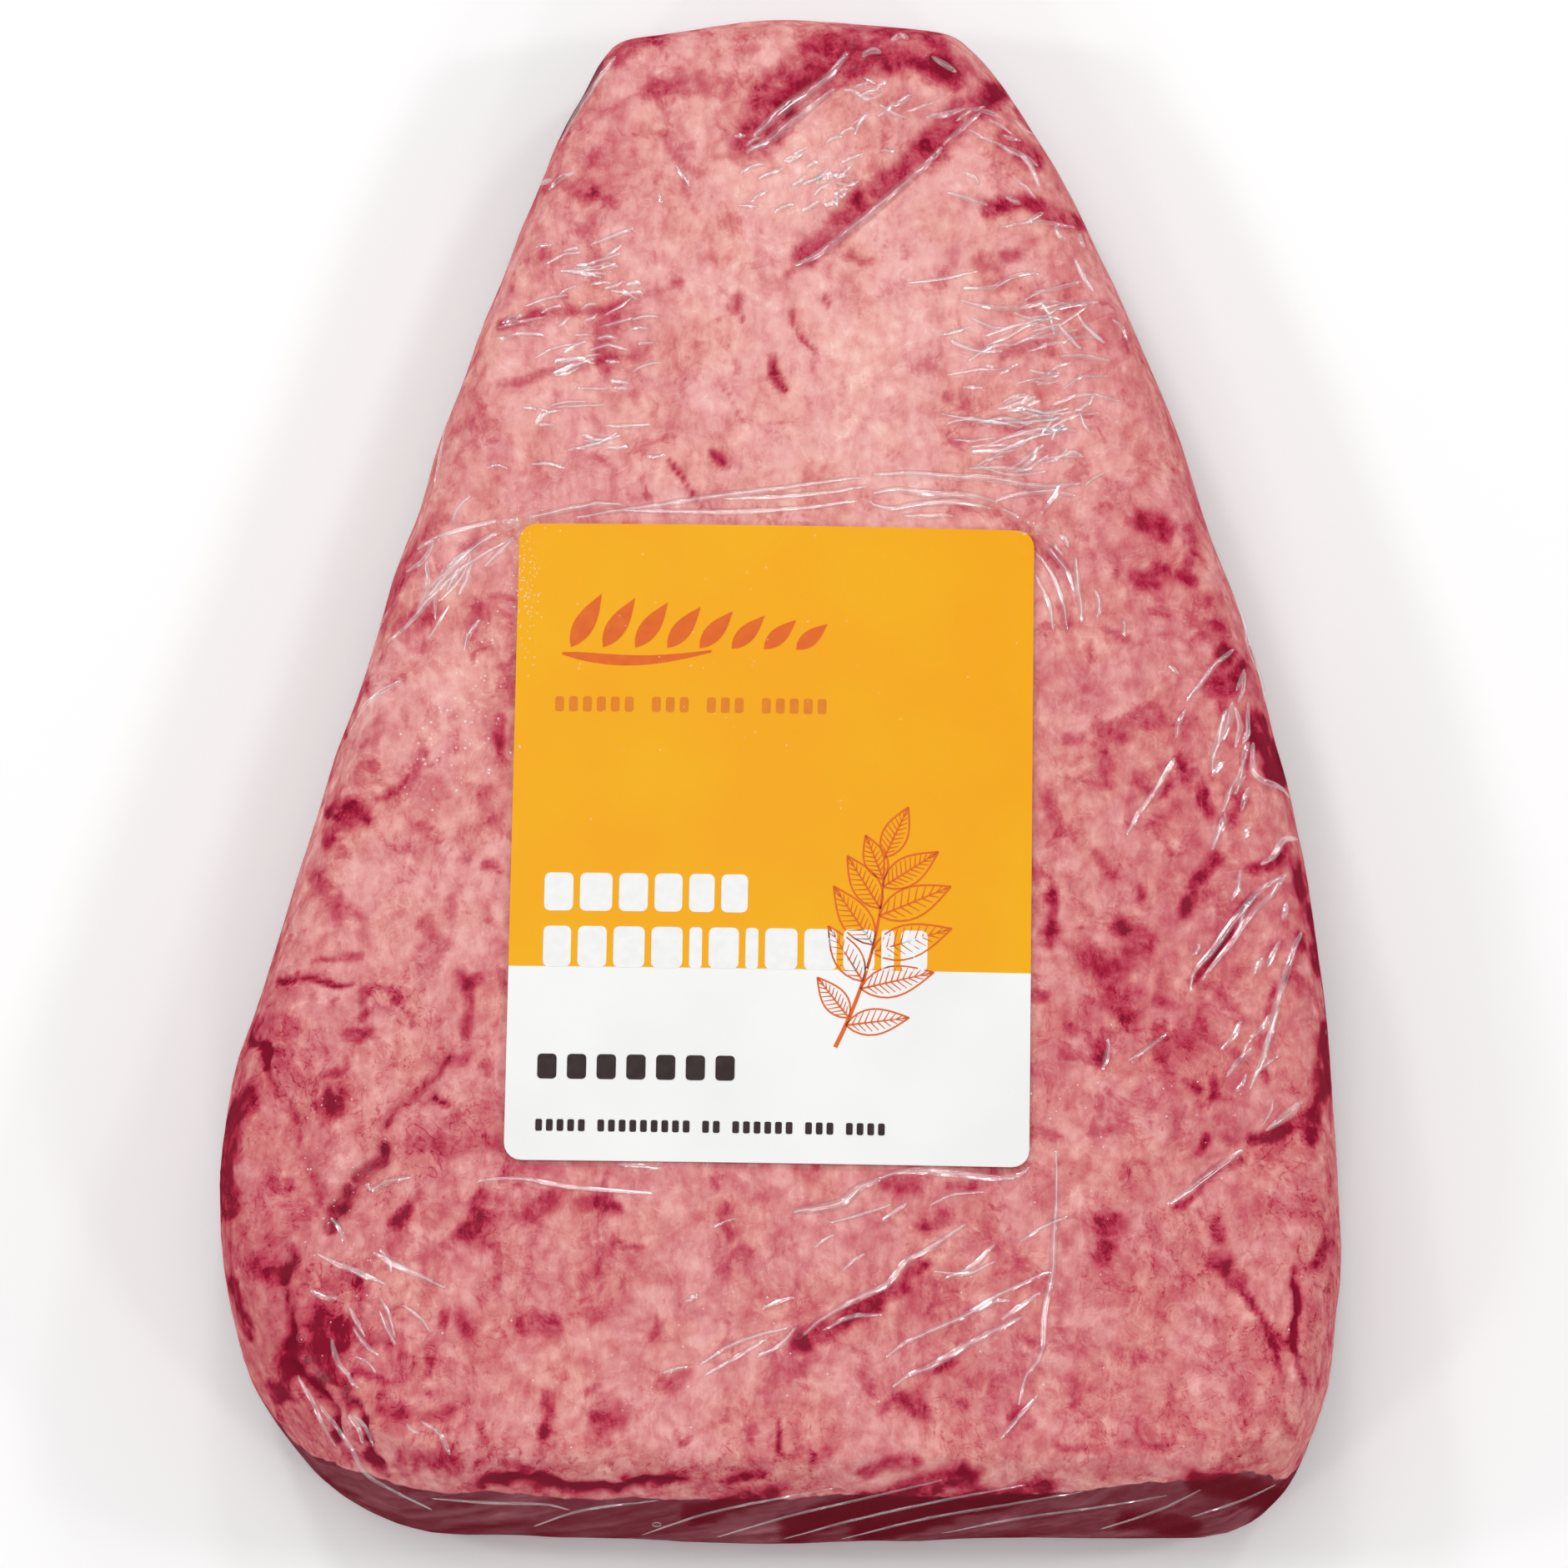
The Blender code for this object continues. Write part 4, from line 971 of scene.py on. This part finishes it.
# folds drawn tight in the film: height, half width, path
tightFolds = [
    (0.9, 0.7, -5.4, 113.2, -1.5, 117.1, 2.4, 120, 6.3, 122.6, 8.9, 125.2, 11.2, 128.2),
    (0.5, 0.45, 13.5, 127.5, 15.5, 128.5, 17.1, 128.2),
    (0.5, 0.45, 18.7, 130.1, 20.4, 131.1, 21.7, 130.5),
    (0.7, 0.6, -6.7, 110.6, -3.1, 112.5, -0.2, 114.8, 4.4, 118.4, 8.9, 122),
    (0.9, 0.65, 1.8, 90.7, 6.3, 93, 12.9, 98.2, 19.4, 103.7, 25.2, 108.9, 27.8, 111.6),
    (0.35, 0.4, 27.8, 111.9, 31.1, 114.8, 34.4, 117.7),
    (0.3, 0.35, 10.3, 121.7, 12.2, 121.3, 14.8, 120, 17.4, 121),
    (0.4, 0.45, 24.9, 116.8, 28.5, 117.4, 31.8, 118.4),
    (0.35, 0.35, 25.9, 127.5, 28.5, 125.9, 30.1, 124.6),
    (0.35, 0.35, 13.8, 123.9, 16.1, 122.6),
    (0.3, 0.35, 7, 112.2, 8.9, 113.2, 10.3, 113.5),
    (0.35, 0.4, 3.7, 108, 5.4, 108.9, 6, 109.3),
    (0.3, 0.35, -4.7, 106, -1.5, 107.3, 0.1, 108),
    (0.3, 0.35, 5, 106, 8.3, 106.3, 9.6, 107.3),
    (0.3, 0.3, 9.3, 104.1, 9.3, 100.8),
    (0.4, 0.4, 28.5, 103.7, 31.1, 102.8, 35.7, 101.5),
    (0.3, 0.3, 31.1, 107.3, 33.4, 106.3, 34, 105),
    (0.4, 0.4, 42.5, 98.2, 45.4, 100.2),
    (0.35, 0.4, -41.2, 104.1, -39.3, 106, -36.7, 107.3),
    (0.6, 0.5, -39, 112.5, -36.7, 117.1, -32.8, 123, -29.5, 127.5),
    (0.35, 0.35, -34.1, 94.3, -30.2, 95.9, -26.2, 97.5),
    (0.3, 0.3, -31.5, 92.3, -28.2, 94.6),
    (0.25, 0.3, -22, 103.7, -21.4, 101.5),
    (0.25, 0.3, -19.1, 108.6, -16.5, 104.7),
    (0.3, 0.3, -38, 58.4, -32.8, 59.7, -28.9, 61.7),
    (0.3, 0.3, -39.3, 73.8, -35.4, 74.7, -32.1, 75.4),
    (0.35, 0.35, -30.8, 70.8, -26.9, 70.2),
    (0.3, 0.3, -30.2, 69.5, -26.9, 69.2),
    (0.35, 0.4, 31.1, 86.8, 36.3, 87.1, 40.9, 89.1, 44.8, 89.4),
    (0.45, 0.4, 30.5, 84.8, 36.3, 83.5, 41.5, 83.5, 46.1, 84.5, 50.3, 83.9),
    (0.4, 0.35, 35.3, 76.7, 39.6, 78.6, 43.5, 80.6, 48.1, 79.3),
    (0.35, 0.35, 40.2, 82.6, 44.1, 81.3, 48.1, 81.9),
    (0.3, 0.35, 32.4, 81.9, 36.3, 79.9, 38.9, 79.9),
    (0.35, 0.35, 35, 73.4, 37, 73.1),
    (0.35, 0.35, 38.3, 66.9, 41.5, 68.2, 43.5, 67.6),
    (0.3, 0.3, 39.6, 65.3, 42.8, 65.9),
    (0.35, 0.4, 48.7, 57.5, 50.7, 58.1, 52.3, 57.5),
    (0.35, 0.35, 46.7, 62, 50, 62.4),
    (0.4, 0.4, 32.4, 55.2, 37.6, 55.5, 42.8, 54.9),
    (0.5, 0.5, 15.5, 54.2, 22, 54.5, 28.5, 53.9, 36.3, 53.6, 44.1, 52.2, 52, 52.6),
    (0.55, 0.5, 15.5, 50.9, 19.4, 51.6, 25.2, 50.9, 32.4, 50.6, 37.6, 49.3),
    (0.5, 0.45, 15.1, 50, 15.5, 49, 19.4, 48.3, 25.2, 49.3, 31.1, 49.3, 36.3, 48.3),
    (0.45, 0.45, 37, 49.6, 41.5, 50.9, 46.1, 51.3, 51.3, 50.6),
    (0.4, 0.4, 20.7, 47, 25.2, 47, 29.8, 47),
    (0.4, 0.45, -49.7, 43.5, -45.8, 46.1, -41.2, 47.4, -33.4, 49, -28.2, 49),
    (0.35, 0.4, -36.7, 46.7, -28.2, 48, -19.1, 49.3, -10.6, 50.6, -0.2, 51.9, 8.9, 53.2, 14.2, 53.6),
    (0.3, 0.4, -28.2, 48, -18.4, 47.7, -8, 47.7, 2.4, 48.3, 12.9, 49.6),
    (0.35, 0.35, -10.6, 50, -2.8, 50.3, 5.7, 50.9, 14.8, 52.2),
    (0.25, 0.3, 27.2, 65, 33.7, 63.7, 40.2, 63.3, 48.1, 64),
    (0.25, 0.3, 31.1, 69.5, 35, 69.5),
    (0.25, 0.3, 32.4, 59.1, 37, 59.4, 41.5, 59.1),
    (0.4, 0.45, -44.1, 46.4, -47.4, 45.1, -51.3, 43.5, -55.2, 40.6, -59.1, 36.7, -62.4, 32.8),
    (0.35, 0.4, -45.4, 44.5, -49.3, 41.2, -52.6, 38),
    (0.35, 0.4, -44.1, 46.4, -51.3, 45.8, -59.1, 43.8, -64.3, 41.2),
    (0.3, 0.35, -47.4, 43.2, -55.2, 38.6, -61.7, 32.8, -65.6, 28.2, -69.5, 24.9),
    (0.3, 0.35, -69.5, 30.2, -73.4, 22.3, -74.7, 18.4),
    (0.3, 0.35, -66.9, 18.4, -72.8, 14.5, -76, 9.3),
    (0.35, 0.35, -55.2, 41.2, -59.1, 38),
    (0.5, 0.45, 51.2, 39.9, 51.2, 36.7, 51.9, 32.8, 52.2, 28.2),
    (0.4, 0.4, 54.5, 34.1, 55.2, 31.5, 54.8, 28.9),
    (0.3, 0.3, 59.4, 28.9, 59.7, 25.6),
    (0.4, 0.4, 46.4, 43.8, 49, 43.2, 49.9, 41.2),
    (0.35, 0.4, 43.1, 44.5, 46.4, 41.2, 49.6, 37.3, 50.9, 33.4),
    (0.35, 0.4, 37.9, 48.4, 41.8, 46.4, 45.7, 43.8, 49, 39.9),
    (0.3, 0.35, 44.1, 40.6, 47, 36.7, 49, 31.5, 49.6, 26.9),
    (0.3, 0.35, 44.1, 36.7, 46.4, 31.5, 47.3, 26.9),
    (0.45, 0.45, 77.6, 13.2, 76.7, 9.3, 75.7, 6.7, 75, 3.8),
    (0.4, 0.4, 80.6, 4.1, 79.9, 1.5, 78.3, -1.1, 76.7, -5),
    (0.35, 0.4, 76.7, -5.7, 76, -8.3, 75, -11.6),
    (0.4, 0.45, 68.5, 4.7, 65.9, 0.2, 62.6, -4.4, 60, -8.9),
    (0.35, 0.35, 70.5, 14.5, 73.1, 17.8, 75.7, 21, 78.9, 23.6),
    (0.35, 0.35, 70.5, 13.2, 69.2, 10.6, 68.8, 8),
    (0.5, 0.45, 88.1, -15.8, 84.2, -18.1, 80.9, -21.3, 78.3, -24.6, 75, -29.2, 71.8, -33.1, 71.1, -36.6),
    (0.4, 0.4, 87.7, -16.4, 84.8, -20, 81.5, -23.3, 78.9, -27.2, 75.7, -31.1, 73.1, -34.4),
    (0.4, 0.4, 83.5, -14.2, 85.5, -12.9, 87.4, -9.9, 90, -9.6),
    (0.5, 0.45, 90.7, -25.9, 89, -29.8, 87.4, -35, 86.1, -39.6, 85.1, -44.1, 84.2, -48.1),
    (0.35, 0.4, 88.1, -20.7, 87.4, -23.9),
    (0.35, 0.4, 82.2, 7.3, 82.2, 2.8, 83.5, 0.8, 86.8, -0.5, 88.7, -2.4),
    (0.5, 0.5, 78.9, 32.8, 80.6, 28.2, 81.5, 23.6, 83.5, 18.4, 84.2, 14.5),
    (0.35, 0.35, 67.2, 21, 69.2, 19.1),
    (0.3, 0.35, 60, -48.7, 64, -46.1, 67.2, -43.5),
    (0.35, 0.4, 86.8, -39.2, 85.5, -43.1, 83.5, -49, 81.5, -53.5),
    (0.3, 0.4, 56.8, -44.4, 56.8, -47, 55.8, -50.3),
    (0.5, 0.5, 90.7, -55.5, 88.1, -58.1, 84.2, -60.7),
    (0.5, 0.5, 80.6, -64, 78.3, -65.6, 75, -67.9, 71.8, -70.5, 67.2, -73.7),
    (0.4, 0.5, 43.1, -67.2, 40.5, -68.8, 35.3, -68.8, 29.4, -68.2, 20.9, -67.9, 16.4, -69.2),
    (0.6, 0.6, 17, -69.2, 13.1, -70.8, 9.9, -73.4, 5.3, -74.4, 1.4, -75),
    (0.35, 0.45, 32, -77, 30.1, -78.3, 26.2, -80.9, 21.6, -83.5, 18.3, -87.4, 13.1, -90, 7.3, -93.3,
     3.3, -96.5),
    (0.3, 0.4, 47, -85.5, 43.1, -86.8, 37.9, -89.4, 34, -92, 30.1, -93.9, 25.5, -95.9, 21.6, -97.8,
     17.7, -100.4),
    (0.35, 0.45, 41.8, -93.3, 37.9, -95.2, 34, -97.2, 29.4, -99.8, 25.5, -102.1, 21.6, -103.7, 19, -105.7),
    (0.3, 0.4, 47.7, -64, 47.7, -71.8, 47.3, -79.6, 47, -85.5, 45.7, -92, 45.1, -99.8, 42.4, -103.7,
     41.1, -108.9),
    (0.25, 0.35, 37.9, -114.8, 41.8, -110.2, 44.4, -107),
    (0.4, 0.45, -73.4, -69.8, -72.1, -71.1, -69.5, -69.8, -65, -68.8),
    (0.35, 0.4, -72.1, -81.9, -69.5, -83.5, -65, -85.5, -59.1, -88.4),
    (0.35, 0.4, -81.9, -82.2, -78, -84.2, -73.4, -86.1, -69.5, -87.7),
    (0.35, 0.4, -83.2, -88.7, -80.6, -90, -78, -90),
    (0.25, 0.35, -53.9, -69.8, -51.3, -69.2, -45.4, -69.2, -38.2, -70.5, -31.7, -71.1, -22.6, -71.8),
    (0.25, 0.35, -29.1, -66.6, -25.2, -66.9, -21.3, -67.2),
    (0.35, 0.4, -21.3, -103.1, -18.7, -102.4, -16.7, -102.1),
    (0.3, 0.35, -14.8, -101.8, -9.6, -98.5, -4.3, -96.5, 0.9, -95.2),
    (0.25, 0.35, -14.1, -103.7, -8.3, -100.4, -3, -97.2),
    (0.3, 0.35, -17.4, -90.7, -14.8, -89.4),
    (0.3, 0.35, -85.2, -103.7, -82.6, -108.3, -80.6, -112.8, -78.6, -116.1),
    (0.4, 0.4, -81.3, -108.9, -79.3, -111.5, -76, -116.1, -73.4, -120.7, -68.2, -123.9, -61.7, -127.2),
    (0.3, 0.35, -61.7, -125.2, -51.9, -125.9, -42.1, -126.2, -37.6, -127.2),
    (0.3, 0.24, -43.9, -130.1, -35.1, -127.2, -22, -125.5),
    (0.3, 0.24, -24.9, -131.6, -13.2, -127.7, 1.4, -124.7, 8.7, -123.4),
    (0.3, 0.24, -11.8, -132, 1.4, -128.1, 16, -124.7, 27.7, -122),
    (0.3, 0.24, -0.1, -132.3, 13.1, -128.7, 27.7, -125.5, 42.3, -122.8),
    (0.3, 0.24, 10.1, -132.3, 24.7, -128.7, 39.3, -126.2, 52.5, -124),
    (0.3, 0.24, 27.7, -131.3, 40.8, -128.7, 56.9, -126.4, 67.1, -124.7),
    (0.3, 0.24, 55.4, -130.6, 65.6, -127.2, 72.9, -123.7),
    (0.3, 0.24, 71.5, -128.4, 80.2, -125.5, 86.1, -122.8),
]
# fields of small random wrinkles: x, y, reach x, reach y, direction, length, count, height
wrinkleFields = [
    (43, 72, 9, 16, 8, 9, 38, 0.28),
    (46, 60, 8, 10, 40, 5, 12, 0.24),
    (-31, 84, 9, 15, 14, 5, 32, 0.24),
    (-36, 62, 8, 8, 10, 6, 12, 0.22),
    (4, 106, 11, 6, 28, 3.5, 24, 0.26),
    (18, 118, 9, 6, 20, 4, 12, 0.26),
    (-42, 76, 8, 10, 12, 6, 12, 0.20),
    (40, 62, 8, 4, 2, 9, 8, 0.24),
    (80, 5, 6, 22, 70, 5, 16, 0.24),
    (80, -40, 6, 16, 55, 5, 10, 0.24),
    (-60, 40, 5, 18, 62, 7, 12, 0.22),
    (20, -84, 26, 12, 28, 8, 14, 0.18),
    (-72, -100, 8, 20, 125, 6, 14, 0.24),
    (40, 110, 8, 10, -35, 5, 14, 0.24),
    (54, 84, 6, 18, -60, 5, 12, 0.22),
]
# air trapped under the film: radius, x, y
bubbles = [
    (0.9, 24.2, -69.7),
    (0.6, 32.7, -70),
    (1.3, 12.3, -73.7),
    (1.1, 18.9, -87.7),
    (1, 2.4, -96.2),
    (0.8, 21.6, -83.4),
    (0.7, 7.3, -89.7),
    (0.8, 48.6, -96.9),
    (0.5, 55.2, -100.6),
    (0.5, 35.3, -96.9),
    (0.6, 56, -59.1),
    (0.9, -16.7, -68.7),
    (0.6, -28.5, -68.5),
    (1, -31.6, -109.4),
    (0.8, -27.2, -109.2),
    (0.6, -29.6, -100.3),
    (1.2, -59.1, -99.1),
    (1.4, -45.4, -101.1),
    (0.6, -18.6, -106),
    (0.5, -17.7, -97.8),
    (0.7, -87.8, -89.4),
    (0.9, -84.5, -96.9),
    (0.6, -76.7, -106),
    (0.8, -22.3, -129.8),
    (0.6, -88.7, -91.3),
    (0.5, -76, -105),
    (1.1, 57.6, 36.3),
    (0.9, 75.4, -9.9),
    (0.6, 60.8, -26.4),
    (0.5, 86, -35),
    (0.6, 49.6, 42.9),
    (0.8, 56.9, -44.4),
    (0.5, 95.2, -43.5),
    (0.6, -2.8, 112.5),
    (0.5, 24.9, 127.2),
]
# fields of tiny specks of air: x, y, reach x, reach y, count, least and greatest radius
speckFields = [
    (-45.2, 35.0, 2.2, 11.0, 150, 0.05, 0.17),
    (-10.0, 20.0, 38.0, 24.0, 60, 0.08, 0.16),
    (-58.0, 6.0, 7.0, 10.0, 60, 0.12, 0.30),
    (-52.0, 22.0, 4.0, 8.0, 20, 0.12, 0.26),
    (56.0, -62.0, 16.0, 20.0, 40, 0.10, 0.22),
    (0.0, -100.0, 60.0, 14.0, 50, 0.10, 0.24),
    (-78.0, -70.0, 10.0, 20.0, 40, 0.10, 0.22),
]


def allFolds():
    # the folds read off the picture, and then the small random ones
    rows = [list(row) for row in tightFolds]
    dice = random.Random(31)
    for x, y, reachX, reachY, direction, length, count, height in wrinkleFields:
        for _ in range(count):
            middle = Vector((dice.gauss(x, reachX * 0.6), dice.gauss(y, reachY * 0.6)))
            angle = math.radians(dice.gauss(direction, 12))
            half = Vector((math.cos(angle), math.sin(angle))) * length * dice.uniform(0.25, 0.75)
            bend = Vector((-half.y, half.x)) * dice.uniform(-0.25, 0.25)
            path = [c for p in (middle - half, middle + bend, middle + half) for c in p]
            rows.append([height * dice.uniform(0.6, 1.3), dice.uniform(0.24, 0.4), *path])
    return rows


def broadRidge(row, gap, along):
    # the film rises gently on both sides of a fold
    ends = smoothStep(np.minimum(along, 1.0 - along) * 5.0)
    return bagFilm["liftShare"] * row[0] * ends * np.exp(-(gap / bagFilm["liftReach"]) ** 2)


def overLabel(points):
    # how high the film has to be to clear the label, with a slope down past its edge
    turn = labelSheet["turn"]
    flat = (points[:, :2] - np.array(labelMiddle)[:2]) / mm
    x = flat[:, 0] * math.cos(turn) + flat[:, 1] * math.sin(turn)
    y = -flat[:, 0] * math.sin(turn) + flat[:, 1] * math.cos(turn)
    halfX, halfY = labelSheet["halfSize"]
    insideX, insideY = np.clip(x, -halfX, halfX), np.clip(y, -halfY, halfY)
    past = np.hypot(x - insideX, y - insideY)
    floor = np.full(len(points), -1.0)
    onTop = points[:, 2] > 20 * mm
    for i in np.nonzero((past < bagFilm["tent"]) & onTop)[0]:
        drop = bagFilm["clear"] + bagFilm["tentDrop"]
        slope = drop * smoothStep(past[i] / bagFilm["tent"])
        floor[i] = onLabel(insideX[i], insideY[i]).z + (bagFilm["overLabel"] - slope) * mm
    return floor


def keepClear(name, data):
    # a piece of the film or of the air under it: it throws no shadow and takes no bounced light
    piece = bpy.data.objects.new(name, data)
    piece.visible_shadow = False
    piece.visible_diffuse = False
    piece.visible_glossy = False
    keepPiece(piece, "beef_fat")


def makeFilm(material):
    data = evenSkin(outside, bagFilm["voxel"], bagFilm["rounds"])
    data.name = "bagFilm"
    for face in data.polygons:
        face.use_smooth = True
    points = pointsOf(data)
    normals = normalsOf(data)
    crest = gather(pictureSpots(points), tightFolds, 7.0, broadRidge) * towardsCamera(normals)
    rise = bagFilm["clear"] + bagFilm["uneven"] * noiseAt(points, 7.0, 21) + crest
    moved = points + normals * rise[:, None] * mm
    base = points + normals * (bagFilm["clear"] * mm)
    raised = np.maximum(overLabel(base) - base[:, 2], 0.0)
    moved[:, 2] += raised
    moved[:, 2] = np.maximum(moved[:, 2], 0.0)
    data.vertices.foreach_set("co", moved.ravel())
    data.update()
    data.materials.append(material)
    print("   bagFilm", len(data.polygons), "faces")
    keepClear("bagFilm", data)
    tree = bmesh.new()
    tree.from_mesh(data)
    return BVHTree.FromBMesh(tree)


def onFilm(tree, x, y):
    # the place on the film that the picture shows at x, y
    eye = picture["target"] + Vector(away) * picture["distance"]
    aim = picture["target"] + Vector((x * mm, 0.0, 0.0)) + Vector(up) * y * mm - eye
    spot, normal, _, _ = tree.ray_cast(eye, aim.normalized())
    return spot, normal


def evenPath(path, step):
    # points at even steps along a smooth curve through a path's corners
    corners = [Vector(path[i:i + 2]) for i in range(0, len(path), 2)]
    corners = [2 * corners[0] - corners[1], *corners, 2 * corners[-1] - corners[-2]]
    spots = []
    for a, b, c, d in zip(corners, corners[1:], corners[2:], corners[3:]):
        count = max(2, math.ceil((c - b).length / step))
        for i in range(count):
            t = i / count
            spots.append(0.5 * (2 * b + (c - a) * t + (2 * a - 5 * b + 4 * c - d) * t * t
                                + (3 * b - a - 3 * c + d) * t ** 3))
    return spots + [corners[-2]]


def makeFolds(tree, material):
    # folds drawn tight in the film: closed strips, high in the middle, their edges just below it
    mesh = bmesh.new()
    across = fold["across"]
    for number, (height, halfWidth, *path) in enumerate(allFolds()):
        line = []
        for i, spot in enumerate(evenPath(path, fold["step"])):
            place, normal = onFilm(tree, spot.x, spot.y)
            if place is not None:
                line.append((place, normal, noise.noise(Vector((i * 0.21, number * 3.7, 0.0)))))
        if len(line) < 4:
            continue
        before = None
        last = len(line) - 1
        for i, (place, normal, chance) in enumerate(line):
            along = (line[min(i + 1, last)][0] - line[max(i - 1, 0)][0]).normalized()
            side = normal.cross(along).normalized()
            taper = math.sqrt(min(1.0, 2.5 * min(i, last - i) / last))
            tall = height * taper * (0.85 + 0.5 * chance) * mm
            wide = halfWidth * (0.35 + 0.65 * taper) * mm
            middle = place + side * (fold["wander"] * chance * mm)
            ring = []
            for u in across:
                rise = tall * math.exp(-u * u) - fold["sunk"] * mm * abs(u / across[0])
                ring.append(mesh.verts.new(middle + side * (wide * u) + normal * rise))
            ring.append(mesh.verts.new(middle - normal * fold["base"] * mm))
            if before:
                for j in range(len(ring)):
                    k = (j + 1) % len(ring)
                    mesh.faces.new((before[j], before[k], ring[k], ring[j]))
            else:
                mesh.faces.new(ring)
            before = ring
        mesh.faces.new(before[::-1])
    bmesh.ops.recalc_face_normals(mesh, faces=mesh.faces)
    for face in mesh.faces:
        face.smooth = True
    keepClear("filmFolds", meshOf(mesh, "filmFolds", material))


def clearGloss(name, roughness, most, grainSize, relief):
    # a see-through skin that gives back the softboxes: how rough, how strong at most, how creased
    material, tree = newMaterial(name)
    place = addNode(tree, "TexCoord").outputs["Object"]
    creased = addNode(tree, "TexNoise", Vector=place, Scale=perMm(grainSize), Detail=2.0,
                      Roughness=0.55).outputs[0]
    bump = addNode(tree, "Bump", Strength=0.4, Distance=relief * mm, Height=creased).outputs[0]
    gloss = addNode(tree, "BsdfGlossy", Color=(1.0, 1.0, 1.0, 1.0), Roughness=roughness,
                    Normal=bump).outputs[0]
    clear = addNode(tree, "BsdfTransparent", Color=(0.99, 0.99, 0.99, 1.0)).outputs[0]
    fresnel = addNode(tree, "Fresnel", IOR=1.45, Normal=bump).outputs[0]
    share = math2(tree, "MULTIPLY", fresnel, most / 0.05)
    share = math2(tree, "MINIMUM", share, most)
    surface = addNode(tree, "MixShader", Fac=share, at1=clear, at2=gloss).outputs[0]
    addNode(tree, "OutputMaterial", Surface=surface)
    return material


def airFinish(name, middle):
    # air pressed under the film: how white its middle is, and a pale bright edge, both painted highlights in
    # white
    material, tree = newMaterial(name)
    gloss = addNode(tree, "BsdfPrincipled", Base_Color=(1.0, 1.0, 1.0, 1.0), Roughness=0.12).outputs[0]
    clear = addNode(tree, "BsdfTransparent", Color=(1.0, 1.0, 1.0, 1.0)).outputs[0]
    edge = addNode(tree, "LayerWeight", Blend=0.35).outputs["Facing"]
    share = spread(tree, edge, 0.3, 0.75, middle, 0.5)
    surface = addNode(tree, "MixShader", Fac=share, at1=clear, at2=gloss).outputs[0]
    addNode(tree, "OutputMaterial", Surface=surface)
    return material


def makeAir(name, tree, rows, smooth, material):
    # small flat domes of air that press the film up: radius, x, y
    mesh = bmesh.new()
    flatter = Matrix.Diagonal((1.0, 1.0, 0.42, 1.0))
    for radius, x, y in rows:
        spot, normal = onFilm(tree, x, y)
        if spot is None:
            continue
        turn = normal.to_track_quat("Z", "X").to_matrix().to_4x4()
        shape = Matrix.Translation(spot - normal * radius * mm * 0.1) @ turn @ flatter
        bmesh.ops.create_icosphere(mesh, subdivisions=smooth, radius=radius * mm, matrix=shape)
    for face in mesh.faces:
        face.smooth = True
    keepClear(name, meshOf(mesh, name, material))


def speckRows():
    dice = random.Random(77)
    return [(dice.uniform(least, greatest), dice.gauss(x, reachX * 0.6), dice.gauss(y, reachY * 0.6))
            for x, y, reachX, reachY, count, least, greatest in speckFields for _ in range(count)]


print("stage: film")
filmTree = makeFilm(clearGloss("clearShrinkFilm", 0.24, 0.010, 3.0, 0.4))
makeFolds(filmTree, clearGloss("tightFilmFold", 0.16, 0.20, 2.0, 0.05))
makeAir("airBubbles", filmTree, bubbles, 3, airFinish("airUnderFilm", 0.01))
# the specks' white middles are painted glints
makeAir("airSpecks", filmTree, speckRows(), 1, airFinish("fineAirUnderFilm", 0.30))


studio = {
    "floorSize": 6.0,
    "floorColour": "FBFBFB",
    "world": 0.36,
    # softboxes: name, direction round the pack, height above the floor, distance, size, watts
    "lights": [
        ("rightBox", 0, 38, 1.3, 0.15, 2.1),
        ("rightBackBox", 45, 38, 1.3, 0.15, 1.6),
        ("backBox", 90, 38, 1.3, 0.15, 1.6),
        ("leftBackBox", 120, 40, 1.3, 0.15, 2.2),
        ("leftBox", 180, 38, 1.3, 0.15, 2.1),
        ("leftFrontBox", 225, 38, 1.3, 0.15, 1.4),
        ("frontBox", 270, 34, 1.3, 0.15, 1.4),
        ("rightFrontBox", 315, 38, 1.3, 0.15, 1.4),
        ("topBox", 120, 78, 1.8, 1.2, 6.5),
    ],
}


def makeStudio():
    mesh = bmesh.new()
    bmesh.ops.create_grid(mesh, x_segments=1, y_segments=1, size=studio["floorSize"] / 2)
    bmesh.ops.translate(mesh, verts=mesh.verts, vec=(0.0, 0.0, -0.0002))
    material, tree = newMaterial("paleFloor")
    colour = linear(studio["floorColour"])
    surface = addNode(tree, "BsdfPrincipled", Base_Color=colour, Roughness=0.9).outputs[0]
    addNode(tree, "OutputMaterial", Surface=surface)
    floor = bpy.data.objects.new("floor", meshOf(mesh, "floor", material))
    bpy.context.scene.collection.objects.link(floor)
    world = bpy.data.worlds.new("softRoom")
    world.use_nodes = True
    back = world.node_tree.nodes["Background"]
    back.inputs["Color"].default_value = (1.0, 1.0, 1.0, 1.0)
    back.inputs["Strength"].default_value = studio["world"]
    bpy.context.scene.world = world
    for name, around, height, distance, size, watts in studio["lights"]:
        lamp = bpy.data.lights.new(name, "AREA")
        lamp.shape = "SQUARE"
        lamp.size = size
        lamp.energy = watts
        holder = bpy.data.objects.new(name, lamp)
        a, h = math.radians(around), math.radians(height)
        aside = Vector((math.cos(a) * math.cos(h), math.sin(a) * math.cos(h), math.sin(h)))
        holder.location = aside * distance
        holder.rotation_euler = (-holder.location).to_track_quat("-Z", "Y").to_euler()
        holder.visible_camera = False
        bpy.context.scene.collection.objects.link(holder)


print("stage: floor, light and camera")
makeStudio()
makeCamera()
